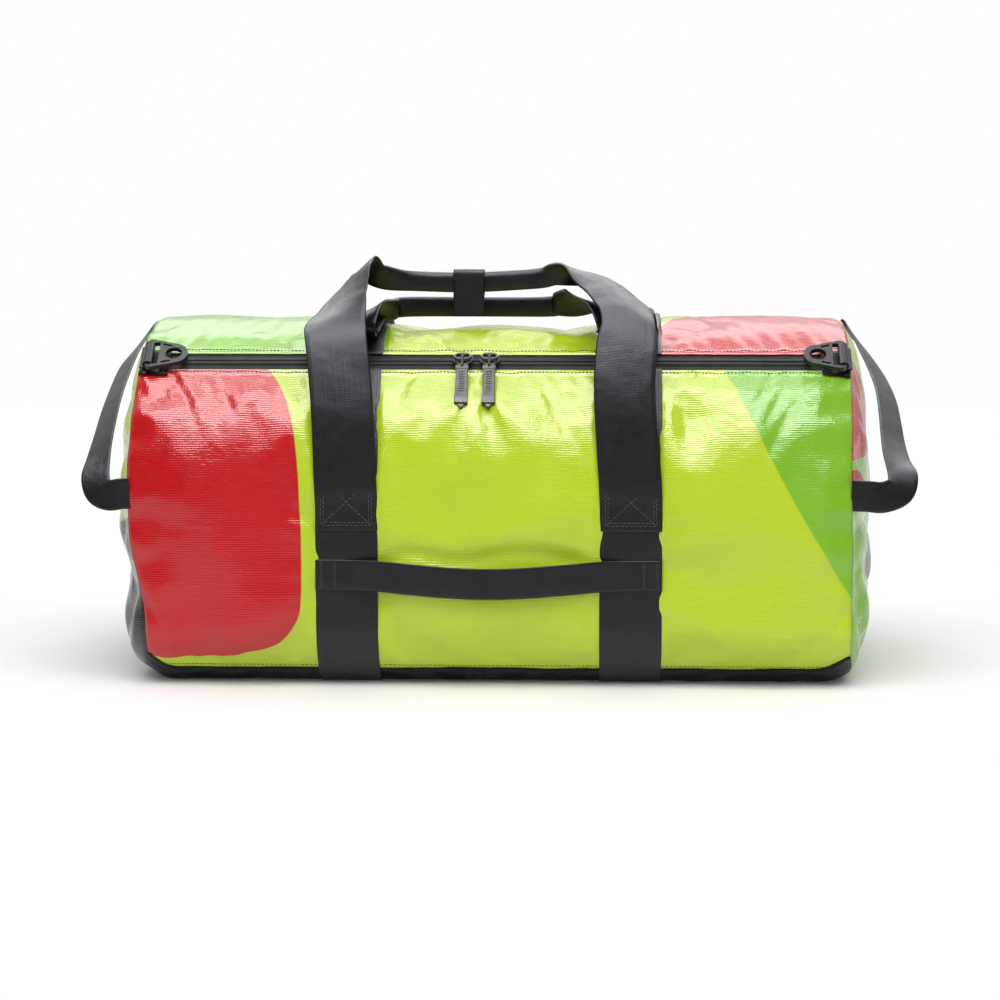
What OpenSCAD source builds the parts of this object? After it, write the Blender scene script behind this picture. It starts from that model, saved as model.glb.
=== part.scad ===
// Barrel holdall of coated fabric: a zipped main body on a black base, two
// webbing carry handles held together by a wrap, a grab handle on the front,
// a grab handle on each end and a moulded ring at each end of the zip.
// Origin: middle of the underside. X along the bag, front faces -Y, Z up.

/* [Body] */
// Length between the two end seams
bag_length = 580; // [480:10:640]
// Radius of the rounded top of the body
bag_radius = 150; // [135:1:160]
// Height of that round's centre above the ground
round_height = 143; // [130:1:155]
// Radius of the rolled edge along the bottom
corner_radius = 50; // [35:1:60]
// Thickness of the coated fabric walls
wall = 1.6; // [1.2:0.1:2.4]
// Height of the seam round the black base
base_seam_height = 12; // [8:1:20]
// How far each end panel bulges outwards
end_bulge = 24; // [10:1:30]

/* [Mouth] */
// Angle of the zip ahead of the top of the bag
zip_angle = 38; // [30:1:42]
// Angle of the fold behind the top, where the mouth flap hinges
fold_angle = 35; // [30:1:40]
// Length of the stiff middle of the mouth flap
flap_length = 290; // [280:2:300]
// Width of tape that shows on each side of the zip's teeth
tape_width = 10; // [8:0.5:12]
// Width of one row of zip teeth
teeth_width = 3.5; // [3:0.1:4.5]

/* [Webbing] */
// Width of the broad webbing of the bands and carry handles
broad_webbing = 50; // [45:1:52]
// Width of the narrow webbing of the grab handles
narrow_webbing = 25; // [20:1:25]
// Thickness of the webbing
webbing_thickness = 1.6; // [1.2:0.1:1.8]
// Distance between the middles of the two bands
band_spacing = 228; // [220:1:236]

/* [Strap rings] */
// Radius of the hole in the nose of a ring
ring_hole_radius = 6.8; // [5:0.1:7.5]
// Thickness of a ring
ring_thickness = 4; // [3:0.1:4]

/* [Hidden] */
$fn = 96;

lime = [0.66, 0.78, 0.2];
black = [0.14, 0.14, 0.14];
zip_grey = [0.23, 0.23, 0.24];
plastic = [0.1, 0.1, 0.1];

gap = 0.3;
half_length = bag_length / 2;
flap_half = flap_length / 2;
band_shift = -3;
degrees_per_mm = 180 / (PI * bag_radius);
teeth_angle = teeth_width * degrees_per_mm;
tape_angle = (teeth_width + tape_width) * degrees_per_mm;
gap_angle = gap * degrees_per_mm;
tape_thickness = 1;
zip_end = half_length - 40;

// X of the middle of the left (-1) or right (1) band
function band_x(side) = band_shift + side * band_spacing / 2;

// The body's outline in Y and Z, moved inwards by inset
module outline(inset) {
    side = bag_radius - inset;
    corner_middle = bag_radius - corner_radius;
    translate([0, round_height]) intersection() {
        circle(side, $fn = 192);
        translate([-side, 0]) square([2 * side, side]);
    }
    translate([-side, corner_radius]) square([2 * side, round_height - corner_radius]);
    translate([-corner_middle, inset]) square([2 * corner_middle, corner_radius]);
    for (y = [-corner_middle, corner_middle])
        translate([y, corner_radius]) circle(corner_radius - inset);
}

// Layer of the body's skin between two insets from the outline
module skin(outer, inner) {
    difference() {
        outline(outer);
        outline(inner);
    }
}

// Wedge of Y and Z between two angles ahead of the top
module wedge(from, to) {
    reach = 2 * bag_radius;
    middle = (from + to) / 2;
    translate([0, round_height])
        polygon([[0, 0], for (a = [from, middle, to]) [-reach * sin(a), reach * cos(a)]]);
}

// Side of the body (-1 front, 1 back) from an angle down to a height
module flank(side, angle, low) {
    reach = 2 * bag_radius;
    polygon([
        [0, round_height], [side * reach * sin(angle), round_height + reach * cos(angle)],
        [side * reach, round_height + reach * cos(angle)], [side * reach, low], [0, low]
    ]);
}

// Runs a shape drawn in Y and Z along X
module along_x(from, to) {
    translate([from, 0, 0]) rotate([90, 0, 90]) linear_extrude(height = to - from) children();
}

// Places children on the skin: X along the bag, Y up the slope, Z outwards
module on_skin(x, angle, lift = 0) {
    r = bag_radius + lift;
    translate([x, -r * sin(angle), round_height + r * cos(angle)]) rotate([angle, 0, 0]) children();
}

// Arc of skin from one angle to another and one X to another
module skin_arc(x0, x1, from, to, outer, inner) {
    along_x(x0, x1) intersection() {
        skin(outer, inner);
        wedge(from, to);
    }
}

// Ribbons: each row is [x, y, z, width direction x, y, z, width, thickness]
function row_at(a, b, c, d, t) =
    (2 * b + (c - a) * t + (2 * a - 5 * b + 4 * c - d) * t * t + (3 * b - a - 3 * c + d) * t * t * t) / 2;
function smooth_rows(rows, steps) = [
    for (i = [0 : len(rows) - 2])
        for (s = [0 : steps - 1])
            row_at(rows[max(i - 1, 0)], rows[i], rows[i + 1], rows[min(i + 2, len(rows) - 1)], s / steps),
    rows[len(rows) - 1]
];
function place(row) = [row[0], row[1], row[2]];
function across(row) = [row[3], row[4], row[5]];
function unit(v) = v / norm(v);
function ribbon_ring(rows, i) =
    let (
        ahead = unit(place(rows[min(i + 1, len(rows) - 1)]) - place(rows[max(i - 1, 0)])),
        flat = across(rows[i]),
        wide = unit(flat - ahead * (flat * ahead)) * rows[i][6] / 2,
        deep = unit(cross(ahead, wide)) * rows[i][7] / 2
    )
    [for (s = [[1, 1], [-1, 1], [-1, -1], [1, -1]]) place(rows[i]) + wide * s[0] + deep * s[1]];

module ribbon(rows, steps = 4) {
    line = smooth_rows(rows, steps);
    last = 4 * (len(line) - 1);
    polyhedron(
        points = [for (i = [0 : len(line) - 1]) each ribbon_ring(line, i)],
        faces = [
            [0, 1, 2], [0, 2, 3],
            for (i = [0 : 4 : last - 4]) for (j = [0 : 3])
                let (k = (j + 1) % 4) each [[i + j, i + 4 + j, i + 4 + k], [i + j, i + 4 + k, i + k]],
            [last + 2, last + 1, last], [last + 3, last + 2, last]
        ],
        convexity = 10
    );
}

function backwards(rows) = [for (i = [len(rows) - 1 : -1 : 0]) rows[i]];

// --- Body panels ---

module base_panel() {
    color(black) along_x(-half_length, half_length) intersection() {
        skin(0, wall);
        translate([-bag_radius, 0]) square([2 * bag_radius, base_seam_height]);
    }
}

module front_panel() {
    color(lime) along_x(-half_length, half_length) intersection() {
        skin(0, wall);
        flank(-1, zip_angle + tape_angle, base_seam_height);
    }
}

module back_panel() {
    color(lime) along_x(-half_length, half_length) intersection() {
        skin(0, wall);
        flank(1, fold_angle, base_seam_height);
    }
}

// End panel: a flat rim that fills the outline and a shallow dome on it
module end_panel() {
    rim = 12;
    cap_radius = bag_radius - rim;
    dome_radius = (cap_radius * cap_radius + end_bulge * end_bulge) / (2 * end_bulge);
    inside = half_length - wall;
    color(lime) {
        along_x(inside - wall, inside) difference() {
            outline(wall);
            translate([0, round_height]) circle(cap_radius);
        }
        translate([inside, 0, round_height]) rotate([0, 90, 0]) translate([0, 0, end_bulge - dome_radius])
            intersection() {
                difference() {
                    sphere(dome_radius, $fn = 128);
                    sphere(dome_radius - wall, $fn = 128);
                }
                translate([0, 0, dome_radius - end_bulge - wall])
                    cylinder(r = cap_radius, h = 2 * end_bulge);
            }
    }
}

// Fixed part of the top between the end seam and the mouth flap
module top_panel_end() {
    color(lime) skin_arc(flap_half, half_length, -fold_angle, zip_angle - tape_angle, 0, wall);
}

module top_panel() {
    color(lime) skin_arc(-flap_half + gap, flap_half - gap, -fold_angle + gap_angle, zip_angle - tape_angle, 0, wall);
}

// --- Zip ---

module zip_tape(x0, x1, from, to) {
    color(zip_grey) skin_arc(x0, x1, from, to, 0.3, 0.3 + tape_thickness);
}

module zip_teeth(x0, x1, from, to) {
    color(zip_grey) skin_arc(x0, x1, from, to, -1.2, 0.3);
}

module zip_end_tab() {
    color(black) skin_arc(zip_end + 2, half_length, zip_angle - 5, zip_angle + 9, -2.6, -1.3);
}

slider_length = 17;
bail_lift = 9;
bail_reach = -7.2;
bail_radius = 1.1;
cord_radius = 1.1;
cord_bend = 2.6;

// Slider body over the front row of teeth, with the bar that its cord hangs on
module zip_slider(x) {
    low = 1.6;
    high = 4.6;
    post = 2.2;
    corner = 2;
    color(plastic) on_skin(x, zip_angle) {
        translate([0, 0, low]) linear_extrude(height = high - low) {
            translate([-slider_length / 2 + corner, -9.6]) square([slider_length - 2 * corner, 9.2]);
            translate([-slider_length / 2, -9.6 + corner]) square([slider_length, 9.2 - 2 * corner]);
            for (sx = [-1, 1]) for (y = [-9.6 + corner, -0.4 - corner])
                translate([sx * (slider_length / 2 - corner), y]) circle(corner, $fn = 24);
        }
        for (sx = [-1, 1])
            translate([sx * 5.2 - post / 2, bail_reach - 1.1, high]) cube([post, 2.2, bail_lift - high]);
        translate([0, bail_reach, bail_lift]) rotate([0, 90, 0])
            cylinder(r = bail_radius, h = 12.6, center = true, $fn = 24);
    }
}

// Frame of a pull: origin on the slider's bar, Y away from it down the front
module on_bail(x) {
    droop = 12;
    on_skin(x, zip_angle) translate([0, bail_reach, bail_lift]) rotate([droop, 0, 0]) mirror([0, 1, 0]) children();
}

module pull_cord(x) {
    strand = 8;
    color(plastic) on_bail(x) {
        for (z = [-cord_bend, cord_bend])
            translate([0, 0, z]) rotate([-90, 0, 0]) cylinder(r = cord_radius, h = strand, $fn = 24);
        rotate([0, 90, 0]) rotate([0, 0, 180]) rotate_extrude(angle = 180, $fn = 48)
            translate([cord_bend, 0]) circle(cord_radius, $fn = 24);
    }
}

module zip_pull(x) {
    start = 8;
    grip = 34;
    block = 9;
    half_width = 5;
    corner = 1.5;
    color(plastic) on_bail(x) {
        translate([0, start, -1.8]) linear_extrude(height = 3.6) {
            translate([-half_width + corner, 0]) square([2 * (half_width - corner), grip]);
            translate([-half_width, corner]) square([2 * half_width, grip - corner]);
            for (sx = [-1, 1]) translate([sx * (half_width - corner), corner]) circle(corner, $fn = 24);
        }
        translate([0, start, -3.75]) linear_extrude(height = 7.5) translate([-half_width, 0]) square([2 * half_width, 3]);
        translate([0, start + grip - block, -2.3]) linear_extrude(height = 4.6)
            polygon([[-half_width, 0], [half_width, 0], [half_width, block], [0, block + 3], [-half_width, block]]);
    }
}

// --- Webbing bands ---

module band(side, from, to) {
    middle = band_x(side);
    color(black) skin_arc(middle - broad_webbing / 2, middle + broad_webbing / 2, from, to, -webbing_thickness, 0);
}

module flank_band(side, face, angle) {
    middle = band_x(side);
    color(black) along_x(middle - broad_webbing / 2, middle + broad_webbing / 2) intersection() {
        skin(-webbing_thickness, 0);
        flank(face, angle, base_seam_height);
    }
}

// --- Carry handles ---

grip_thickness = 9;
grip_height = 17;
grip_z = 324;
front_pivot_height = 172;

// Legs of the front handle, from the stitching up to the grip
front_left_leg = [
    [-117, -152.7, 173.5, 1, 0, 0, 50, 1.8], [-118, -149, 195, 1, 0, 0, 50, 1.8],
    [-120, -139, 225, 1, 0, 0, 50, 1.8], [-124, -128, 255, 1, 0, 0, 50, 1.8],
    [-130, -113, 288, 1, 0, 0.1, 50, 1.8], [-129, -94, 315, 0.93, -0.2, 0.3, 50, 1.8],
    [-116, -70, 332, 0.6, -0.6, 0.55, 48, 2.2], [-100, -46, 334, 0.2, -0.7, 0.7, 34, 3.6],
    [-86, -30, 329, 0, -0.35, 0.94, 20, 6], [-70, -22.5, 325, 0, 0, 1, grip_height, grip_thickness],
    [-24, -22.5, grip_z, 0, 0, 1, grip_height, grip_thickness]
];
front_right_leg = [
    [111, -152.7, 173.5, -1, 0, 0, 50, 1.8], [110, -148, 200, -1, 0, 0, 50, 1.8],
    [108, -139, 230, -1, 0, 0, 50, 1.8], [106.5, -128, 258, -1, 0, 0, 50, 1.8],
    [106, -113, 285, -1, 0, 0, 50, 1.8], [104, -93, 309, -0.97, -0.1, 0.1, 50, 1.8],
    [94, -68, 328, -0.7, -0.55, 0.3, 48, 2.2], [74, -46, 335, -0.3, -0.75, 0.5, 36, 3.4],
    [52, -31, 332, 0, -0.4, 0.9, 20, 6], [32, -22.5, 327, 0, 0, 1, grip_height, grip_thickness]
];

module front_handle() {
    color(black) ribbon(concat(front_left_leg, backwards(front_right_leg)));
}

module front_handle_ends() {
    color(black) for (side = [-1, 1])
        translate([band_x(side) - broad_webbing / 2, -bag_radius - 2 * webbing_thickness - 0.2, front_pivot_height - 42])
            cube([broad_webbing, webbing_thickness + 0.2, 40]);
}

// Wrap round the front grip, with a tail that hangs over the rear grip
module handle_wrap() {
    middle = -24;
    width = 26;
    sheet = 1.8;
    clear = 0.5;
    back_y = -22.5 + grip_thickness / 2 + clear;
    front_y = -22.5 - grip_thickness / 2 - clear;
    low = grip_z - grip_height / 2 - clear;
    high = grip_z + grip_height / 2 + clear;
    color(black) along_x(middle - width / 2, middle + width / 2) {
        translate([front_y - sheet, 295]) square([sheet, high + sheet - 295]);
        translate([back_y, low - sheet]) square([sheet, high - low + 2 * sheet]);
        translate([front_y - sheet, high]) square([back_y - front_y + 2 * sheet, sheet]);
        translate([front_y - sheet, low - sheet]) square([back_y - front_y + 2 * sheet, sheet]);
    }
}

// Legs of the rear handle: slack webbing that runs forward over the top,
// turns back on itself above the zip and comes up to the grip
rear_left_leg = [
    [-117, 15.5, 296.6, 1, 0, 0, 50, 1.8], [-117, -15, 298, 1, 0, 0, 50, 1.8],
    [-118, -45, 293.5, 1, 0, 0, 50, 1.8], [-120, -70, 287.5, 1, 0, 0, 50, 1.8],
    [-121, -84, 291, 1, 0, 0, 50, 1.8], [-120, -83, 302, 1, 0, 0, 50, 1.8],
    [-115, -67, 309, 0.97, -0.2, 0.1, 50, 1.8], [-105, -42, 310, 0.8, -0.5, 0.15, 42, 2.4],
    [-90, -16, 305, 0.1, -0.3, 0.95, 20, 6], [-76, -9, 303, 0, 0, 1, grip_height, grip_thickness]
];
rear_right_leg = [
    [111, 15.5, 296.6, -1, 0, 0, 50, 1.8], [111, -15, 298, -1, 0, 0, 50, 1.8],
    [111, -45, 293.5, -1, 0, 0, 50, 1.8], [110, -70, 287.5, -1, 0, 0, 50, 1.8],
    [109, -84, 291, -1, 0, 0, 50, 1.8], [107, -83, 302, -1, 0, 0, 50, 1.8],
    [99, -67, 310, -0.97, -0.2, 0.1, 50, 1.8], [81, -42, 311, -0.8, -0.5, 0.15, 42, 2.4],
    [56, -16, 306, -0.1, -0.3, 0.95, 20, 6], [38, -9, 303, 0, 0, 1, grip_height, grip_thickness]
];

module rear_handle() {
    color(black) ribbon(concat(rear_left_leg, backwards(rear_right_leg)));
}

module rear_handle_ends() {
    color(black) for (side = [-1, 1])
        skin_arc(band_x(side) - broad_webbing / 2, band_x(side) + broad_webbing / 2, -22, -7.5,
            -2 * webbing_thickness - 0.2, -webbing_thickness);
}

// Flat patch sewn just behind the ridge of the top
module ridge_patch() {
    color(black) skin_arc(-52, 14, -10, -1.5, -1.2, 0);
}

// --- Grab handles ---

grab_height = 93;
grab_left_end = [
    [-142, -152.6, grab_height, 0, 0, 1, 25, 1.6], [-122, -152.6, grab_height, 0, 0, 1, 25, 1.6],
    [-108, -154.4, grab_height, 0, 0, 1, 25, 1.6], [-97, -157.6, grab_height, 0, 0, 1, 25, 1.6]
];
grab_right_end = [
    [136, -152.6, grab_height, 0, 0, -1, 25, 1.6], [106, -152.6, grab_height, 0, 0, -1, 25, 1.6],
    [99, -154.4, grab_height, 0, 0, -1, 25, 1.6], [89, -157.6, grab_height, 0, 0, -1, 25, 1.6]
];

module grab_handle_ends() {
    color(black) {
        ribbon(grab_left_end, 2);
        ribbon(grab_right_end, 2);
    }
}

module grab_handle() {
    color(black) ribbon([
        [-92, -159.6, grab_height, 0, 0, 1, 25, 1.6], [-62, -166.4, grab_height - 2, 0, 0, 1, 25, 1.6],
        [-30, -170, grab_height - 4, 0, 0, 1, 25, 1.6], [-4, -171, grab_height - 4.6, 0, 0, 1, 25, 1.6],
        [22, -170, grab_height - 4, 0, 0, 1, 25, 1.6], [54, -166.4, grab_height - 2, 0, 0, 1, 25, 1.6],
        [84, -159.6, grab_height, 0, 0, 1, 25, 1.6]
    ]);
}

end_foot_front = [-148.8, 158];
end_foot_angle = -19;

// Webbing loop across an end, folded where it leaves each seam
module end_handle() {
    rise = bag_radius - 1;
    top_y = -rise * sin(end_foot_angle);
    top_z = round_height + rise * cos(end_foot_angle);
    start = half_length + 9;
    color(black) ribbon([
        [start, end_foot_front[0], end_foot_front[1], 0, 0, 1, 25, 1.6],
        [start + 11, -149, 158.5, 0, 0, 1, 25, 1.6],
        [start + 24, -147, 164, -0.7, 0, 0.7, 25, 1.6],
        [start + 29, -140, 180, -1, 0, 0.15, 25, 1.6],
        [start + 29, -112, 214, -1, 0, 0, 25, 1.6],
        [start + 25, -70, 249, -1, 0, 0, 25, 1.6],
        [start + 21, -25, 276, -1, 0, 0, 25, 1.6],
        [start + 17, 12, 290, -0.95, -0.3, 0, 25, 1.6],
        [start + 10, 38, 291, -0.6, -0.8, 0, 25, 1.6],
        [start, top_y, top_z, 0, -cos(end_foot_angle), -sin(end_foot_angle), 25, 1.6]
    ]);
}

// Short sewn ends of an end handle, where it comes out of the seam
module end_handle_feet() {
    stub = 2.4;
    color(black) {
        translate([half_length, end_foot_front[0] - 0.8, end_foot_front[1] - narrow_webbing / 2])
            cube([stub, 1.6, narrow_webbing]);
        on_skin(half_length, end_foot_angle, -1.8) translate([0, -narrow_webbing / 2, 0])
            cube([stub, narrow_webbing, 1.6]);
    }
}

// --- Strap rings ---

ring_bar_x = half_length - 7;
ring_bar_lift = 6.9;
ring_bar_radius = 2;
loop_inner_radius = 2.5;
loop_outer_radius = 4.2;
ring_nose = 20.5;
ring_nose_radius = 11.5;
ring_corner = [2, 13];
ring_corner_radius = 4;

// Webbing tube that holds a ring's bar, with its tail sewn to the end seam
module ring_loop() {
    color(black) on_skin(ring_bar_x, zip_angle, ring_bar_lift) {
        rotate([90, 0, 0]) linear_extrude(height = narrow_webbing, center = true) difference() {
            circle(loop_outer_radius);
            circle(loop_inner_radius);
        }
        translate([0, -narrow_webbing / 2, -loop_outer_radius]) difference() {
            cube([half_length - ring_bar_x, narrow_webbing, 1.6]);
            translate([0, -1, loop_outer_radius]) rotate([-90, 0, 0])
                cylinder(r = loop_outer_radius - 0.1, h = narrow_webbing + 2);
        }
    }
}

// Rounded triangle; its straight flanks touch the nose's round and the corners' rounds
module ring_outline() {
    reach = [ring_nose, 0] - ring_corner;
    turn = atan2(reach[1], reach[0]) + acos((ring_corner_radius - ring_nose_radius) / norm(reach));
    out = [cos(turn), sin(turn)];
    corner = ring_corner + ring_corner_radius * out;
    nose = [ring_nose, 0] + ring_nose_radius * out;
    polygon([
        [corner[0], corner[1]], [nose[0], nose[1]], [nose[0], -nose[1]], [corner[0], -corner[1]],
        [-2, -ring_corner[1]], [-2, ring_corner[1]]
    ]);
    translate([ring_nose, 0]) circle(ring_nose_radius);
    for (s = [-1, 1]) translate([ring_corner[0], s * ring_corner[1]]) circle(ring_corner_radius, $fn = 32);
}

// Moulded ring lying inwards over the zip's end
module strap_ring() {
    slot_half = 13.2;
    slot_end = 8.4;
    flank_slot = [14.3, 10.1];
    color(plastic) on_skin(ring_bar_x, zip_angle, ring_bar_lift) mirror([1, 0, 0]) {
        translate([0, 0, -ring_thickness / 2]) linear_extrude(height = ring_thickness) difference() {
            ring_outline();
            translate([ring_nose, 0]) circle(ring_hole_radius, $fn = 64);
            translate([-8, -slot_half]) square([8 + slot_end, 2 * slot_half]);
            for (s = [-1, 1]) translate([flank_slot[0], s * flank_slot[1]]) rotate(-s * 16) {
                square([6, 2], center = true);
                for (e = [-3, 3]) translate([e, 0]) circle(1, $fn = 24);
            }
        }
        rotate([90, 0, 0]) cylinder(r = ring_bar_radius, h = 2 * slot_half + 3, center = true, $fn = 48);
    }
}

rear_row = zip_angle - teeth_angle;
front_row = zip_angle + teeth_angle;
tape_rear_edge = zip_angle - tape_angle;
tape_front_edge = zip_angle + tape_angle;
row_gap = 0.06;
slider_left_x = -26;
slider_right_x = -4;

base_panel();
front_panel();
back_panel();
mirror([1, 0, 0]) end_panel();  // end_panel_left
end_panel();  // end_panel_right
mirror([1, 0, 0]) top_panel_end();  // top_panel_left
top_panel_end();  // top_panel_right
flank_band(-1, -1, tape_front_edge);  // front_webbing_left
flank_band(1, -1, tape_front_edge);  // front_webbing_right
flank_band(-1, 1, fold_angle);  // back_webbing_left
flank_band(1, 1, fold_angle);  // back_webbing_right
zip_tape(-half_length, half_length, front_row, tape_front_edge);  // zip_tape_front
zip_teeth(-zip_end, zip_end, zip_angle + row_gap, front_row);  // zip_teeth_front
zip_tape(-half_length, -flap_half, tape_rear_edge, rear_row);  // zip_tape_rear_left
zip_tape(flap_half, half_length, tape_rear_edge, rear_row);  // zip_tape_rear_right
zip_teeth(-zip_end, -flap_half, rear_row, zip_angle - row_gap);  // zip_teeth_rear_left
zip_teeth(flap_half, zip_end, rear_row, zip_angle - row_gap);  // zip_teeth_rear_right
mirror([1, 0, 0]) zip_end_tab();  // zip_end_tab_left
zip_end_tab();  // zip_end_tab_right
mirror([1, 0, 0]) ring_loop();  // ring_loop_left
ring_loop();  // ring_loop_right
front_handle_ends();
grab_handle_ends();
mirror([1, 0, 0]) end_handle_feet();  // end_handle_left_ends
end_handle_feet();  // end_handle_right_ends
top_panel();
band(-1, -fold_angle + gap_angle, tape_rear_edge);  // top_webbing_left
band(1, -fold_angle + gap_angle, tape_rear_edge);  // top_webbing_right
zip_tape(-flap_half + gap, flap_half - gap, tape_rear_edge, rear_row);  // zip_tape_rear
zip_teeth(-flap_half + gap, flap_half - gap, rear_row, zip_angle - row_gap);  // zip_teeth_rear
rear_handle_ends();
ridge_patch();
front_handle();
handle_wrap();
rear_handle();
zip_slider(slider_left_x);  // zip_slider_left
zip_slider(slider_right_x);  // zip_slider_right
pull_cord(slider_left_x);  // pull_cord_left
pull_cord(slider_right_x);  // pull_cord_right
zip_pull(slider_left_x);  // zip_pull_left
zip_pull(slider_right_x);  // zip_pull_right
mirror([1, 0, 0]) strap_ring();  // strap_ring_left
strap_ring();  // strap_ring_right
mirror([1, 0, 0]) end_handle();  // end_handle_left
end_handle();  // end_handle_right
grab_handle();
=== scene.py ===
"""Looks of a barrel holdall: glossy coated panels, black webbing, a coated zip and moulded rings.

Metres, in the frame of the CAD model: X along the bag, front faces -Y, Z up.
A place on the body is (x, a), where a is the length of cloth from the top of the bag,
positive down the front and negative down the back.
"""

import math

import bpy
import numpy as np
from mathutils import Matrix, Vector

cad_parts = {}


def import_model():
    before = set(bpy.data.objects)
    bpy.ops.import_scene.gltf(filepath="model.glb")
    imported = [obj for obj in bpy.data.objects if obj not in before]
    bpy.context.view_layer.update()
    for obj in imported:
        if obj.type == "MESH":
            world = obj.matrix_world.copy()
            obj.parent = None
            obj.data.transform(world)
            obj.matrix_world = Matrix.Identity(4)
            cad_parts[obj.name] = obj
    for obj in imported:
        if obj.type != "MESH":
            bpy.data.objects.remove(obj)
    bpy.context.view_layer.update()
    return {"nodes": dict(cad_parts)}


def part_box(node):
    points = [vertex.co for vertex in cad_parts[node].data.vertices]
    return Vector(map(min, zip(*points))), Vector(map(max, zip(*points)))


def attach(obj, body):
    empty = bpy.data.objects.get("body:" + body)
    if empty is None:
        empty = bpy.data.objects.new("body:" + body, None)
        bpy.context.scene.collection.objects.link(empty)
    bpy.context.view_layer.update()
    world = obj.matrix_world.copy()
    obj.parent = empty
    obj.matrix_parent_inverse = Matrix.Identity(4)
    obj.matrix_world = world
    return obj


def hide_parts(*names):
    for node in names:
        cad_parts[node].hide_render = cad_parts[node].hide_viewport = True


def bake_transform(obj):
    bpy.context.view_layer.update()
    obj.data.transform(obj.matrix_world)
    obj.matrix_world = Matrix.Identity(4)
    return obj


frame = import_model()
SCENE = bpy.context.scene

# --- Sizes, from the frame ---

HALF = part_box("front_panel")[1].x
RADIUS = -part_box("front_panel")[0].y
ROUND_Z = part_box("top_panel")[1].z - RADIUS
SEAM_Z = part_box("front_panel")[0].z
CORNER = 0.05
ARC = math.pi / 2 * RADIUS
WALL_END = ARC + ROUND_Z - CORNER
CORNER_ARC = math.pi / 2 * CORNER
CORNER_END = WALL_END + CORNER_ARC
HALF_GIRTH = CORNER_END + RADIUS - CORNER
SEAM = WALL_END + CORNER * math.asin(1 - SEAM_Z / CORNER)
COIL_LIFT = 0.0012
ZIP = RADIUS * math.acos((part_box("zip_teeth_front")[1].z - ROUND_Z) / (RADIUS + COIL_LIFT))
TAPE = 0.0098
FOLD = -RADIUS * math.radians(35)
ZIP_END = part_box("zip_teeth_front")[1].x
BAND_HALF = 0.025
BANDS = [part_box(f"front_webbing_{side}")[0].x + BAND_HALF for side in ("left", "right")]
SIDES = (("left", -1), ("right", 1))
# How thick the cloth is, and how far from the ends it is held and sewn
CLOTH = 0.0009
EDGE_LINE = 0.004


def mm(rows):
    """Rows of [x, y, z, width direction, width, thickness, curl]: lengths go from millimetres to metres."""
    scale = np.array([1e-3, 1e-3, 1e-3, 1, 1, 1, 1e-3, 1e-3, 1e-3])
    return np.array([row + [0] * (9 - len(row)) for row in rows], float) * scale


def edges(rows):
    """Rows of [one edge's x, y, z, the other edge's x, y, z, thickness, curl] as rows for mm()."""
    out = []
    for row in rows:
        first, second = np.array(row[:3], float), np.array(row[3:6], float)
        width = np.linalg.norm(second - first)
        out.append([*(first + second) / 2, *(second - first) / width, width, *row[6:]])
    return out


def smooth(low, high, value):
    t = np.clip((value - low) / (high - low), 0, 1)
    return t * t * (3 - 2 * t)


def bell(value, middle, width):
    return np.exp(-(((value - middle) / width) ** 2))


# --- Shape of the body ---


def section(a):
    """Y, Z and the outward normal's Y, Z of the body's outline at a."""
    s = np.abs(a)
    face = np.where(a >= 0, -1.0, 1.0)
    turn = np.clip(s, 0, ARC) / RADIUS
    roll = np.clip(s - WALL_END, 0, CORNER_ARC) / CORNER
    wall = np.clip(s - ARC, 0, WALL_END - ARC)
    floor = np.maximum(s - CORNER_END, 0)
    y = RADIUS * np.sin(turn) - CORNER * (1 - np.cos(roll)) - floor
    z = ROUND_Z + RADIUS * np.cos(turn) - wall - CORNER * np.sin(roll)
    return face * y, z, face * np.sin(turn + roll), np.cos(turn + roll)


WAVES = 16


def ripple(x, a, seed, pitch):
    """Seeded smooth unevenness, about -1 to 1, with folds about pitch apart."""
    rng = np.random.default_rng(seed)
    total = np.zeros(np.broadcast(x, a).shape)
    for _ in range(WAVES):
        angle, phase = rng.uniform(0, 2 * math.pi, 2)
        wave = 2 * math.pi / (pitch * rng.uniform(0.7, 1.6))
        total += np.sin(wave * (x * math.cos(angle) + a * math.sin(angle)) + phase)
    return total / math.sqrt(WAVES)


def from_band(x):
    """How far x is from the nearer band's middle."""
    return np.minimum(*[np.abs(x - middle) for middle in BANDS])


def band_distance(x):
    """How far x is outside the nearer band's edge, and 0 on a band."""
    return np.maximum(from_band(x) - BAND_HALF, 0)


def between_bands(low, high):
    """Runs along X that miss the bands."""
    stops = [low, *(middle + side * BAND_HALF for middle in BANDS for _, side in SIDES), high]
    return list(zip(stops[0::2], stops[1::2]))


def free(x):
    """0 where a band holds the cloth and 1 away from it."""
    return smooth(0, 0.02, band_distance(x))


def puff(x):
    """0 at the bands and the ends, 1 halfway between them."""
    total = np.zeros(np.shape(x))
    for low, high in between_bands(-HALF, HALF):
        total += np.sin(math.pi * np.clip((x - low) / (high - low), 0, 1)) ** 0.8
    return total


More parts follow.
